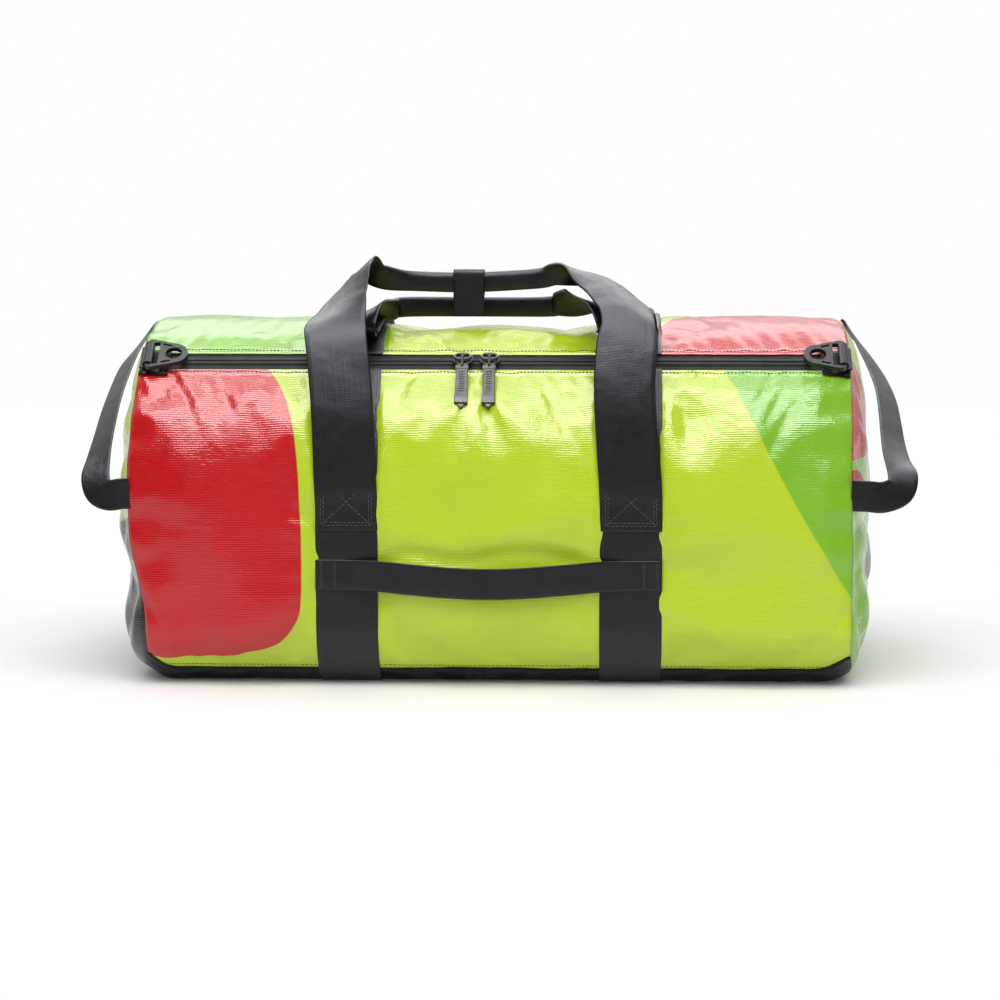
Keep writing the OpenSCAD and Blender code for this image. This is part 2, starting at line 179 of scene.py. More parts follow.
def relief(x, a):
    """How far the cloth stands out from the plain outline."""
    s = np.abs(a)
    low = 1 - smooth(SEAM - 0.045, SEAM, s)
    from_zip = np.where(a > ZIP, a - ZIP - TAPE, ZIP - TAPE - a)
    below = np.maximum(from_zip, 0)
    held = smooth(0, 0.03, from_zip) * low
    from_end = HALF - np.abs(x)
    on_top = smooth(0.09, 0.03, s)
    # The filled cloth swells between the bands and is uneven, and the top sags in the middle
    out = 0.0038 * puff(x) * held * (1 - on_top) - 0.001 * on_top
    out += 0.0026 * ripple(x, a, 3, 0.085) * held * free(x) * smooth(0, 0.03, from_end) * (1 - 0.5 * on_top)
    out -= 0.0095 * bell(a, -0.004, 0.055) * smooth(0.135, 0.05, np.abs(x + 0.003))
    # Gathers that slant away from the zip, and puckers beside the end seams and the bands
    slant = np.where(np.abs(x) < 0.12, -0.5, 0.5) * np.sign(x + 0.003)
    out += (0.0014 * ripple(x + slant * below, 0 * a, 5, 0.017) * np.exp(-below / 0.028) * free(x) * low
            * smooth(0, 0.006, from_zip))
    out += 0.0015 * ripple(np.sign(x), a, 8, 0.03) * np.exp(-from_end / 0.028) * low * held
    out += 0.0013 * ripple(np.sign(x), a, 9, 0.018) * np.exp(-band_distance(x) / 0.016) * free(x) * held
    out += fan(x, a) * held
    # The fold above the grab handle, and the dip that the right pull hangs in
    fold = ARC + ROUND_Z - 0.109 - 0.003 * np.sin(x / 0.016)
    out -= 0.004 * bell(a, fold, 0.0065) * smooth(0.088, 0.06, np.abs(x + 0.003))
    out -= 0.0032 * bell(x, 0.234, 0.02) * bell(below, 0.034, 0.022) * (a > ZIP)
    # The cloth is drawn in above the base and at the end seams
    out -= 0.0035 * smooth(SEAM - 0.05, SEAM, s) * smooth(CORNER_END, CORNER_END - 0.02, s)
    return out - 0.0016 * np.exp(-from_end / 0.003)


def fan(x, a):
    """Folds that spread downwards from below the zip pulls."""
    across, down = x + 0.013, a - ZIP - 0.034
    away = np.hypot(across, down)
    turn = np.arctan2(across, np.maximum(down, 1e-4))
    folds = (bell(turn, -0.75, 0.2) + bell(turn, 0.8, 0.22) + 0.5 * bell(turn, -0.1, 0.12)
             - 0.6 * bell(turn, 0.35, 0.2))
    return 0.0042 * folds * smooth(0.002, 0.03, away) * np.exp(-away / 0.075) * (down > 0)


def warp(x, a):
    """How far an end moves along X: the filled bag is slightly pushed over to the left."""
    height = section(a)[1]
    near = (np.abs(x) / HALF) ** 6
    swell = np.where(x < 0, 0.0045, -0.003) * bell(height, 0.17, 0.07)
    tuck = np.where(x < 0, 0.010, 0.002) * smooth(0.13, 0.05, height) - 0.003 * smooth(0.03, 0.0, height)
    return near * (np.where(x < 0, -swell, swell) - np.sign(x) * tuck)


def surface(x, a, lift=0.0):
    """Point of the cloth at (x, a), lifted off it."""
    x, a = np.broadcast_arrays(np.asarray(x, float), np.asarray(a, float))
    y, z, ny, nz = section(a)
    out = relief(x, a) + lift
    rise = 0.006 * smooth(0.268, 0.292, np.abs(x)) ** 2 * smooth(0.04, 0.0, z)
    return np.stack([x + warp(x, a), y + ny * out, z + nz * out + rise], -1)


def normal(a):
    """Outward direction of the body's outline at a."""
    a = np.asarray(a, float)
    _, _, ny, nz = section(a)
    return np.stack([np.zeros_like(a), ny, nz], -1)


def seam_line(x):
    """Where the black base starts at x: it climbs at the bag's corners."""
    return SEAM - 0.014 * smooth(0.262, HALF, np.abs(x)) - 0.0009 * ripple(x, 0 * x, 21, 0.05)


def on_skin(x, angle, lift=0.0):
    """Matrix of a place on the skin: X along the bag, Y up the slope, Z outwards."""
    r = RADIUS + lift
    at = Matrix.Translation((x, -r * math.sin(angle), ROUND_Z + r * math.cos(angle)))
    return at @ Matrix.Rotation(angle, 4, "X")


# --- Materials ---


def change(thing, **settings):
    """Sets several properties at once."""
    for key, value in settings.items():
        setattr(thing, key, value)


class Nodes:
    """Short calls for the nodes of one tree."""

    def __init__(self, tree):
        self.tree = tree

    def node(self, kind, *inputs, **settings):
        made = self.tree.nodes.new("ShaderNode" + kind)
        change(made, **settings)
        for socket, value in zip(made.inputs, inputs):
            self.put(socket, value)
        return made

    def put(self, socket, value):
        """Sets a socket to a number or links another socket to it."""
        if isinstance(value, bpy.types.NodeSocket):
            self.tree.links.new(value, socket)
        elif value is not None:
            socket.default_value = value

    def math(self, operation, *inputs):
        return self.node("Math", *inputs, operation=operation).outputs[0]

    def times(self, first, second):
        return self.math("MULTIPLY", first, second)

    def plus(self, first, second):
        return self.math("ADD", first, second)

    def minus(self, first, second):
        return self.math("SUBTRACT", first, second)

    def larger(self, first, second):
        return self.math("MAXIMUM", first, second)

    def mix(self, share, first, second):
        made = self.node("Mix", data_type="RGBA")
        for index, value in ((0, share), (6, first), (7, second)):
            self.put(made.inputs[index], (*value, 1) if isinstance(value, tuple) else value)
        return made.outputs[2]

    def noise(self, where, scale, detail=3.0):
        made = self.node("TexNoise")
        self.put(made.inputs["Vector"], where)
        made.inputs["Scale"].default_value = scale
        made.inputs["Detail"].default_value = detail
        return made.outputs["Fac"]

    def stretch(self, value, low, high, to_low=0.0, to_high=1.0):
        made = self.node("MapRange")
        for socket, number in zip(made.inputs, (value, low, high, to_low, to_high)):
            self.put(socket, number)
        return made.outputs[0]

    def lines(self, value, pitch, sharp):
        """1 on thin lines that are pitch apart, 0 between them."""
        wave = self.math("ABSOLUTE", self.math("SINE", self.times(value, math.pi / pitch)))
        return self.math("POWER", wave, sharp)

    def bump(self, height, depth, under=None):
        made = self.node("Bump")
        made.inputs["Strength"].default_value = 1.0
        made.inputs["Distance"].default_value = depth
        self.put(made.inputs["Height"], height)
        self.put(made.inputs["Normal"], under)
        return made.outputs[0]


class Paint(Nodes):
    """A material under construction."""

    def __init__(self, name):
        self.material = bpy.data.materials.new(name)
        self.material.use_nodes = True
        super().__init__(self.material.node_tree)
        self.shader = self.tree.nodes["Principled BSDF"]

    def flat(self):
        """The piece's own flat coordinates: (vector, first, second)."""
        vector = self.node("Attribute", attribute_name="flat").outputs["Vector"]
        split = self.node("SeparateXYZ", vector)
        return vector, split.outputs[0], split.outputs[1]

    def finish(self, **values):
        for name, value in values.items():
            self.put(self.shader.inputs[name.replace("_", " ")], value)
        return self.material


LIME = (0.425, 0.57, 0.02)
GREEN = (0.19, 0.43, 0.02)
RED = (0.46, 0.006, 0.008)
BLACK = (0.014, 0.014, 0.014)
SCRIM_ALONG, SCRIM_ACROSS = 0.0019, 0.0023


def blob(paint, u, v, middle, width, above, below, power):
    """1 inside a rounded shape in the flat coordinates. Its v reaches above and below the middle differ."""
    across = paint.math("ABSOLUTE", paint.math("DIVIDE", paint.minus(u, middle[0]), width))
    down = paint.minus(v, middle[1])
    reach = paint.larger(paint.math("DIVIDE", down, below), paint.math("DIVIDE", down, -above))
    total = paint.plus(paint.math("POWER", across, power), paint.math("POWER", reach, power))
    return paint.stretch(total, 1.012, 0.988)


def coated_cloth(name, prints):
    """Glossy lime tarpaulin over a scrim of threads. prints(paint, u, v) gives (mask, colour) pairs."""
    paint = Paint(name)
    vector, u, v = paint.flat()
    colour = LIME
    for mask, tint in prints(paint, u, v):
        colour = paint.mix(mask, colour, tint)
    scrim = paint.larger(paint.lines(v, SCRIM_ALONG, 4.0),
                         paint.times(paint.lines(u, SCRIM_ACROSS, 8.0), 0.3))
    shade = paint.stretch(paint.noise(vector, 9.0), 0.3, 0.7, 0.0, 0.16)
    shade = paint.plus(shade, paint.times(scrim, 0.06))
    dark = paint.mix(0.45, colour, (0.0, 0.0, 0.0))
    colour = paint.mix(shade, colour, dark)
    scuffs = paint.math("POWER", paint.noise(vector, 55.0, 6.0), 3.0)
    rough = paint.plus(paint.times(scuffs, 0.3), 0.12)
    creases = paint.bump(paint.noise(vector, 24.0, 4.0), 0.0022)
    fine = paint.bump(paint.noise(vector, 140.0, 3.0), 0.0003, creases)
    relief_normal = paint.bump(scrim, 0.0001, fine)
    return paint.finish(Base_Color=colour, Roughness=rough, Normal=relief_normal, Specular_IOR_Level=0.6)


def body_prints(paint, u, v):
    """Red shape at the front left, green at the front right, green and red over the top's two ends."""
    front = paint.math("GREATER_THAN", v, ZIP)
    top = paint.minus(1.0, front)
    red = blob(paint, u, v, (-0.288, 0.290), 0.134, 0.2163, 0.0688, 3.2)
    down = paint.minus(v, 0.12)
    edge = paint.plus(paint.times(down, 0.4), paint.times(paint.times(down, down), 0.75))
    green = paint.stretch(paint.minus(u, edge), 0.190, 0.1915)
    top_red = blob(paint, u, v, (0.2175, 0.10), 0.089, 0.122, 0.122, 2.2)
    top_green = blob(paint, u, v, (-0.215, 0.10), 0.127, 0.17, 0.17, 3.0)
    back_green = blob(paint, u, v, (-0.2, -0.29), 0.13, 0.12, 0.12, 2.6)
    return [(paint.times(green, front), GREEN), (paint.times(red, front), RED),
            (paint.times(top_red, top), RED), (paint.times(top_green, top), GREEN),
            (back_green, GREEN)]


def left_end_prints(paint, u, v):
    """Black below a slanting line."""
    edge = paint.plus(v, paint.times(u, 0.25))
    return [(paint.stretch(edge, 0.104, 0.1025), BLACK)]


def right_end_prints(paint, u, v):
    """Guessed: green above a slanting line, two red shapes and a black one."""
    red = blob(paint, u, v, (-0.135, 0.235), 0.085, 0.05, 0.032, 3.0)
    low_red = blob(paint, u, v, (-0.15, 0.166), 0.03, 0.012, 0.012, 2.5)
    dark = blob(paint, u, v, (-0.075, 0.105), 0.035, 0.022, 0.02, 2.0)
    green = paint.stretch(paint.minus(v, paint.times(u, -0.5)), 0.2, 0.198)
    return [(green, GREEN), (red, RED), (low_red, RED), (dark, BLACK)]


def lining():
    """Grey woven side of the tarpaulin, seen when the mouth is open."""
    paint = Paint("lining")
    _, u, v = paint.flat()
    weave = paint.larger(paint.lines(v, SCRIM_ALONG, 2.0), paint.lines(u, SCRIM_ACROSS, 2.0))
    colour = paint.mix(weave, (0.36, 0.37, 0.36), (0.5, 0.51, 0.5))
    return paint.finish(Base_Color=colour, Roughness=0.75, Normal=paint.bump(weave, 0.0002))


def webbing():
    """Black nylon webbing: fine cross ribs, a faint twill and a lilac sheen."""
    paint = Paint("webbing")
    vector, u, v = paint.flat()
    ribs = paint.lines(v, 0.0013, 1.0)
    twill = paint.lines(paint.plus(u, paint.times(v, 0.7)), 0.0016, 1.0)
    warp_lines = paint.lines(u, 0.0085, 30.0)
    weave = paint.plus(paint.times(ribs, 0.6), paint.times(twill, 0.6))
    weave = paint.minus(weave, paint.times(warp_lines, 0.5))
    worn = paint.stretch(paint.noise(vector, 40.0, 5.0), 0.35, 0.75)
    colour = paint.mix(worn, (0.0045, 0.0045, 0.004), (0.008, 0.008, 0.008))
    colour = paint.mix(paint.times(weave, 0.3), colour, (0.010, 0.010, 0.011))
    rough = paint.stretch(paint.noise(vector, 90.0), 0.3, 0.7, 0.3, 0.4)
    soft = paint.bump(paint.noise(vector, 45.0, 3.0), 0.0012)
    return paint.finish(Base_Color=colour, Roughness=rough, Normal=paint.bump(weave, 0.00012, soft),
                        Specular_Tint=(0.88, 0.9, 1.0, 1), Specular_IOR_Level=0.45)


def base_cloth():
    """Black tarpaulin of the base, with a little dust."""
    paint = Paint("black_tarpaulin")
    vector, u, v = paint.flat()
    scrim = paint.larger(paint.lines(v, SCRIM_ALONG, 4.0), paint.lines(u, SCRIM_ACROSS, 6.0))
    dust = paint.stretch(paint.noise(vector, 30.0, 6.0), 0.5, 0.8)
    colour = paint.mix(dust, (0.004, 0.004, 0.004), (0.009, 0.009, 0.009))
    folds = paint.bump(paint.noise(vector, 35.0, 3.0), 0.0012)
    rough = paint.stretch(paint.noise(vector, 50.0), 0.3, 0.7, 0.26, 0.42)
    return paint.finish(Base_Color=colour, Roughness=rough, Normal=paint.bump(scrim, 0.00012, folds),
                        Specular_IOR_Level=0.16)


def coated_tape():
    """Zip tape with a matt coating over a fine weave."""
    paint = Paint("zip_tape")
    vector, u, v = paint.flat()
    weave = paint.larger(paint.lines(v, 0.0007, 1.0), paint.lines(u, 0.0007, 1.0))
    worn = paint.stretch(paint.noise(vector, 70.0, 5.0), 0.4, 0.75)
    colour = paint.mix(worn, (0.012, 0.0125, 0.013), (0.02, 0.021, 0.022))
    rough = paint.stretch(paint.noise(vector, 120.0), 0.3, 0.7, 0.42, 0.55)
    return paint.finish(Base_Color=colour, Roughness=rough, Normal=paint.bump(weave, 0.00006),
                        Specular_IOR_Level=0.12)


def moulded(name, low, high, roughness, grain, depth):
    """Moulded plastic or rubber with a fine grain."""
    paint = Paint(name)
    where = paint.node("TexCoord").outputs["Object"]
    colour = paint.mix(paint.stretch(paint.noise(where, 180.0, 4.0), 0.35, 0.7), low, high)
    rough = paint.stretch(paint.noise(where, 320.0), 0.3, 0.7, roughness - 0.06, roughness + 0.08)
    return paint.finish(Base_Color=colour, Roughness=rough,
                        Normal=paint.bump(paint.noise(where, grain, 2.0), depth))


def thread(name, colour):
    """Twisted sewing thread."""
    paint = Paint(name)
    where = paint.node("TexCoord").outputs["Object"]
    twist = paint.noise(where, 1500.0, 1.0)
    bright = tuple(min(1.0, channel * 1.6 + 0.01) for channel in colour)
    return paint.finish(Base_Color=paint.mix(twist, colour, bright), Roughness=0.55,
                        Normal=paint.bump(twist, 0.0001))


BODY_CLOTH = coated_cloth("lime_tarpaulin", body_prints)
END_CLOTH = {"left": coated_cloth("left_end_tarpaulin", left_end_prints),
             "right": coated_cloth("right_end_tarpaulin", right_end_prints)}
LINING = lining()
BASE_CLOTH = base_cloth()
WEB = webbing()
TAPE_CLOTH = coated_tape()
PLASTIC = moulded("moulded_plastic", (0.012, 0.012, 0.012), (0.022, 0.022, 0.023), 0.33, 900.0, 0.00005)
COIL = moulded("zip_teeth", (0.014, 0.014, 0.015), (0.03, 0.03, 0.032), 0.4, 1200.0, 0.00003)
RUBBER = moulded("pull_rubber", (0.05, 0.05, 0.052), (0.085, 0.085, 0.09), 0.5, 1400.0, 0.0003)
CORD = moulded("cord", (0.012, 0.012, 0.012), (0.04, 0.04, 0.042), 0.6, 1800.0, 0.0004)
DARK_THREAD = thread("dark_thread", (0.012, 0.013, 0.012))
GREY_THREAD = thread("webbing_thread", (0.035, 0.035, 0.037))


# --- Mesh making ---


def new_piece(name, points, faces, materials, flat=None):
    """Smooth-shaded mesh object. Its materials read the flat coordinates, if it has them."""
    mesh = bpy.data.meshes.new(name)
    mesh.from_pydata([tuple(p) for p in points], [], faces)
    for material in materials:
        mesh.materials.append(material)
    if flat is not None:
        values = np.zeros((len(points), 3), np.float32)
        values[:, : flat.shape[1]] = flat
        mesh.attributes.new("flat", "FLOAT_VECTOR", "POINT").data.foreach_set("vector", values.ravel())
    mesh.polygons.foreach_set("use_smooth", [True] * len(mesh.polygons))
    mesh.update()
    obj = bpy.data.objects.new(name, mesh)
    SCENE.collection.objects.link(obj)
    return obj


def grid_faces(rows, columns, flip=False):
    """Quads of a grid of points. Outwards is to the left of going from row to row along +X."""
    quads = []
    for i in range(rows - 1):
        for j in range(columns - 1):
            k = i * columns + j
            quad = (k, k + columns, k + columns + 1, k + 1)
            quads.append(quad[::-1] if flip else quad)
    return quads


def ring_faces(rings, count, first=0, closed=False, caps=True):
    """Quads round a row of rings of count points, with a face over each end if asked."""
    faces = []
    for i in range(rings if closed else rings - 1):
        near, far = first + i * count, first + (i + 1) % rings * count
        faces += [(near + k, near + (k + 1) % count, far + (k + 1) % count, far + k) for k in range(count)]
    if caps and not closed:
        last = first + (rings - 1) * count
        faces += [tuple(range(first, first + count))[::-1], tuple(range(last, last + count))]
    return faces


def coords(mesh):
    """The mesh's points as an array."""
    values = np.empty(len(mesh.vertices) * 3)
    mesh.vertices.foreach_get("co", values)
    return values.reshape(-1, 3)


def thicken(obj, thickness, offset=-1.0, inner=0):
    """A closed sheet: solidified, with another material on its inner side if asked."""
    change(obj.modifiers.new("thickness", "SOLIDIFY"), thickness=thickness, offset=offset,
           material_offset=inner, use_even_offset=False)


def soften(obj):
    change(obj.modifiers.new("round", "SUBSURF"), levels=1, render_levels=1)


def bevel(obj, width, segments=2):
    change(obj.modifiers.new("edges", "BEVEL"), width=width, segments=segments, limit_method="ANGLE",
           angle_limit=math.radians(40), use_clamp_overlap=True)


SETTLE_FRAMES = 18
INWARD_SHARE = 0.6


def settle(obj, pinned, base, outward, pressure=1.6, grow=0.02, reach=0.005):
    """Cloth simulation: the pinned points hold, the rest swells and wrinkles by at most reach."""
    group = obj.vertex_groups.new(name="held")
    group.add([int(i) for i in np.flatnonzero(pinned)], 1.0, "REPLACE")
    cloth = obj.modifiers.new("settle", "CLOTH")
    change(cloth.settings, vertex_group_mass="held", quality=6, mass=0.2, tension_stiffness=30,
           compression_stiffness=30, shear_stiffness=15, bending_stiffness=2.0, air_damping=2.0,
           shrink_min=-grow, shrink_max=-grow, use_pressure=True, uniform_pressure_force=pressure)
    cloth.settings.effector_weights.gravity = 0
    cloth.collision_settings.use_collision = False
    change(cloth.point_cache, frame_start=1, frame_end=SETTLE_FRAMES)
    for step in range(1, SETTLE_FRAMES + 1):
        SCENE.frame_set(step)
    moved = obj.evaluated_get(bpy.context.evaluated_depsgraph_get()).data
    shift = coords(moved) - base
    size = np.linalg.norm(shift, axis=1, keepdims=True) + 1e-9
    limit = np.where((shift * outward).sum(1, keepdims=True) > 0, reach, INWARD_SHARE * reach)
    shift *= limit * np.tanh(size / limit) / size
    obj.modifiers.remove(cloth)
    SCENE.frame_set(1)
    obj.data.vertices.foreach_set("co", (base + shift).ravel())
    obj.vertex_groups.clear()
    obj.data.update()


def spaced(low, high, step):
    return np.linspace(low, high, max(2, round(abs(high - low) / step) + 1))


def body_grid(xs, arcs, lift):
    """Points and flat coordinates of a grid on the body."""
    columns, rows = np.meshgrid(xs, arcs)
    if callable(lift):
        lift = lift(columns, rows)
    return surface(columns, rows, lift).reshape(-1, 3), np.stack([columns, rows], -1).reshape(-1, 2)


def finish_cloth(obj, body, node):
    """Rounds a cloth, gives it its thickness and lining, and puts it in the place of a CAD node."""
    soften(obj)
    thicken(obj, CLOTH, inner=1)
    if body:
        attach(obj, body)
    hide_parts(node)


def cloth_piece(name, points, flat, rows, columns, body, node, materials, flip, pinned=None):
    """A grid of cloth, settled by the simulation where pinned is given."""
    obj = new_piece(name, points, grid_faces(rows, columns, flip), materials, flat)
    if pinned is not None:
        settle(obj, pinned, points, normal(flat[:, 1]))
    finish_cloth(obj, body, node)
    return obj


# --- Threads: stitches and zip coils, as small rods joined into one mesh ---


class Rods:
    """Short rods with sunk round ends, collected for one body and one material."""

    RING = 6
    SEWN_SHARE = 0.72
    PROFILE = ((0.0, 0.3, -0.9), (0.14, 0.9, 0.0), (0.5, 1.0, 0.25), (0.86, 0.9, 0.0), (1.0, 0.3, -0.9))

    def __init__(self, name, body, material, slot):
        self.name, self.body, self.material, self.slot = name, body, material, slot
        self.points, self.faces = [], []

    def rod(self, start, end, up, radius):
        start, end, up = (np.asarray(p, float) for p in (start, end, up))
        along = end - start
        length = np.linalg.norm(along)
        side = np.cross(along / length, up)
        side /= np.linalg.norm(side)
        first = len(self.points)
        for share, size, sink in self.PROFILE:
            middle = start + along * share + up * radius * sink
            for k in range(self.RING):
                angle = 2 * math.pi * k / self.RING
                self.points.append(middle + radius * size * (side * math.cos(angle) + up * math.sin(angle)))
        self.faces += ring_faces(len(self.PROFILE), self.RING, first)

    def along(self, path, ups, pitch=0.0036, radius=0.0003):
        """Stitches along a polyline, with a gap between one and the next."""
        path, ups = np.asarray(path, float), np.asarray(ups, float)
        steps = np.linalg.norm(np.diff(path, axis=0), axis=1)
        place = np.concatenate([[0], np.cumsum(steps)])
        count = max(1, round(place[-1] / pitch))
        for i in range(count):
            ends = (np.array([i, i + self.SEWN_SHARE]) / count) * place[-1]
            p = np.stack([np.interp(ends, place, path[:, k]) for k in range(3)], -1)
            up = np.array([np.interp(ends.mean(), place, ups[:, k]) for k in range(3)])
            self.rod(p[0], p[1], up / np.linalg.norm(up), radius)

    def on_body(self, corners, lift, **how):
        """Stitches along straight runs between (x, a) corners on the body."""
        for (x0, a0), (x1, a1) in zip(corners, corners[1:]):
            share = np.linspace(0, 1, max(2, round(math.hypot(x1 - x0, a1 - a0) / 0.004)))
            x, a = x0 + (x1 - x0) * share, a0 + (a1 - a0) * share
            self.along(surface(x, a, lift), normal(a), **how)

    def finish(self):
        obj = new_piece(self.name, self.points, self.faces, [self.material])
        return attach(obj, self.body) if self.body else obj


# --- Panels ---

CELL = 0.005
# The hem beside the zip: its width, and the rows of points across it
HEM = 0.0055
HEM_ROWS = np.array([0, 0.0012, 0.0035, 0.005, 0.0066])
# The simulation leaves the cloth alone this near the zip and the base's seam, and on a band up to
# this near the band's edge
HEM_HELD = 0.0075
SEAM_HELD = 0.005
EDGE_SLACK = 0.0005
# How far a panel goes under what it is sewn to
UNDERLAP = 0.0004


def hem_lift(columns, rows):
    """The cloth is folded double along the zip."""
    from_zip = np.abs(rows - ZIP) - TAPE
    return CLOTH * smooth(HEM, HEM - 0.0012, from_zip) * smooth(-0.001, 0.0012, from_zip)


def held_points(flat, arcs_held):
    """Points that the seams, hems and bands hold."""
    x, a = flat[:, 0], flat[:, 1]
    held = (np.abs(x) > HALF - EDGE_LINE) | (from_band(x) < BAND_HALF - EDGE_SLACK)
    for low, high in arcs_held:
        held |= (a > low) & (a < high)
    return held


def cloth_columns():
    """Columns along the bag, with one in the middle of each band, where the flap's cloth is cut."""
    stops = [-HALF, BANDS[0], BANDS[1], HALF]
    runs = [spaced(low, high, CELL) for low, high in zip(stops, stops[1:])]
    return np.unique(np.concatenate(runs).round(9))


def front_panel():
    xs = cloth_columns()
    top = ZIP + TAPE - UNDERLAP
    shares = np.concatenate([HEM_ROWS / (SEAM - top), np.linspace(0.011 / (SEAM - top), 1, 52)])
    columns, share = np.meshgrid(xs, shares)
    rows = top + (seam_line(columns) + UNDERLAP - top) * share
    points = surface(columns, rows, hem_lift(columns, rows)).reshape(-1, 3)
    flat = np.stack([columns, rows], -1).reshape(-1, 2)
    pinned = held_points(flat, [(0, top + HEM_HELD)]) | (flat[:, 1] > seam_line(flat[:, 0]) - SEAM_HELD)
    cloth_piece("front_cloth", points, flat, len(shares), len(xs), "bag", "front_panel",
                [BODY_CLOTH, LINING], False, pinned)


def back_and_top():
    """One cloth from the zip over the top and down the back, then cut where the flap hinges."""
    xs = cloth_columns()
    zip_edge = ZIP - TAPE + UNDERLAP
    top = np.concatenate([zip_edge - HEM_ROWS, spaced(zip_edge - 0.011, FOLD, CELL)])
    down = np.linspace(0, 1, 56)[1:]
    columns, _ = np.meshgrid(xs, np.zeros(len(top) + len(down)))
    rows = np.vstack([np.repeat(top[:, None], len(xs), 1),
                      FOLD + (-seam_line(xs)[None, :] - UNDERLAP - FOLD) * down[:, None]])
    points = surface(columns, rows, hem_lift(columns, rows)).reshape(-1, 3)
    flat = np.stack([columns, rows], -1).reshape(-1, 2)
    whole = new_piece("whole_top", points, grid_faces(*rows.shape, True), [BODY_CLOTH], flat)
    pinned = held_points(flat, [(zip_edge - HEM_HELD, 1)]) | (flat[:, 1] < -seam_line(flat[:, 0]) + SEAM_HELD)
    settle(whole, pinned, points, normal(flat[:, 1]), reach=0.003)
    settled = coords(whole.data).reshape(*rows.shape, 3)
    bpy.data.objects.remove(whole)
    flat = flat.reshape(*rows.shape, 2)
    split = len(top)
    middle = slice(int(np.argmin(abs(xs - BANDS[0]))), int(np.argmin(abs(xs - BANDS[1]))) + 1)
    cuts = [("back_cloth", slice(split - 1, None), slice(None), "bag", "back_panel"),
            ("top_cloth", slice(0, split), middle, "flap", "top_panel"),
            ("top_cloth_left", slice(0, split), slice(0, middle.start + 1), None, "top_panel_left"),
            ("top_cloth_right", slice(0, split), slice(middle.stop - 1, None), None, "top_panel_right")]
    for name, part, across, body, node in cuts:
        kept, where = settled[part, across], flat[part, across]
        obj = cloth_piece(name, kept.reshape(-1, 3), where.reshape(-1, 2), kept.shape[0], kept.shape[1],
                          body, node, [BODY_CLOTH, LINING], True)
        if body is None:
            bend_with_flap(obj)


def bend_with_flap(obj):
    """A piece beyond the flap's stiff middle: its placement is baked into its points, and it is not bent."""
    side = -1 if coords(obj.data)[:, 0].mean() < 0 else 1
    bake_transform(obj)


def base_panel():
    """Black base, from seam to seam under the bag, with a rolled edge. It rests flat on the floor."""
    xs = spaced(-HALF, HALF, 0.006)
    shares = np.concatenate([np.linspace(0, 0.13, 12), np.linspace(0.13, 0.87, 24)[1:-1],
                             np.linspace(0.87, 1, 12)])
    columns, share = np.meshgrid(xs, shares)
    start = seam_line(columns)
    girth = 2 * HALF_GIRTH
    along = start + (girth - 2 * start) * share
    rows = np.where(along > HALF_GIRTH, along - girth, along)
    near_seam = np.minimum(share, 1 - share) * (girth - 2 * SEAM)
    roll = 0.0010 * smooth(0.012, 0.002, near_seam) + 0.0006 * smooth(0.0, 0.004, near_seam)
    roll += 0.0006 * ripple(columns, rows, 31, 0.03) * smooth(0.05, 0.01, near_seam)
    points = surface(columns, rows, roll - 0.0006)
    points[..., 2] = np.maximum(points[..., 2], 0.0)
    flat = np.stack([columns, along], -1).reshape(-1, 2)
    cloth_piece("base_cloth", points.reshape(-1, 3), flat, len(shares), len(xs), "bag",
                "base_panel", [BASE_CLOTH, BASE_CLOTH], False)


def end_panel(name, side):
    """Domed end with soft radial folds, from the seam round the section to its middle."""
    around, rings = 160, 34
    girth = np.linspace(-HALF_GIRTH, HALF_GIRTH, around, endpoint=False)
    rim = surface(np.full(around, side * HALF), girth, -UNDERLAP)
    middle = np.array([rim[:, 0].mean(), 0, 0.138])
    shares = np.linspace(0, 1, rings + 1)[:-1] ** 0.9
    depth = 0.017 if side < 0 else 0.0155
    points, flat = [], []
    angle = np.unwrap(np.arctan2(rim[:, 2] - middle[2], rim[:, 1]))
    for share in shares:
        ring = rim * (1 - share) + middle * share
        dome = depth * (1 - (1 - share) ** 2.6)
        folds = ripple(np.cos(angle) * 0.1, np.sin(angle) * 0.1, 40 + side, 0.035)
        creases = ripple(ring[:, 1], ring[:, 2], 50 + side, 0.06)
        ease = math.sin(math.pi * min(1, share * 1.05)) ** 0.7
        low = smooth(0.16, 0.05, ring[:, 2])
        dent = 0.0022 * folds * ease * (1 - share) + (0.0014 + 0.0016 * low) * creases * ease
        bulge = (0.009 if side < 0 else 0.003) * smooth(0.1, 0.035, ring[:, 2])
        swell = (0.0005 + bulge) * smooth(0, 0.05, share)
        ring = ring.copy()
        ring[:, 0] += side * (dome + swell + dent)
        points.extend(ring)
        flat.extend(ring[:, 1:])
    points.append(middle + np.array([side * (depth + 0.0005), 0, 0]))
    flat.append(middle[1:])
    quads = ring_faces(rings, around, caps=False)
    last = (rings - 1) * around
    quads += [(last + k, last + (k + 1) % around, rings * around) for k in range(around)]
    if side < 0:
        quads = [quad[::-1] for quad in quads]
    points, flat = np.array(points), np.array(flat)
    obj = new_piece(f"end_cloth_{name}", points, quads, [END_CLOTH[name], LINING], flat)
    pinned = np.arange(len(points)) < around * 2
    settle(obj, pinned, points, np.tile([side, 0, 0], (len(points), 1)), pressure=0.6, grow=0.025)
    finish_cloth(obj, "bag", f"end_panel_{name}")


front_panel()
back_and_top()
base_panel()
for side_name, side_sign in SIDES:
    end_panel(side_name, side_sign)


# --- Straps sewn flat on the body ---


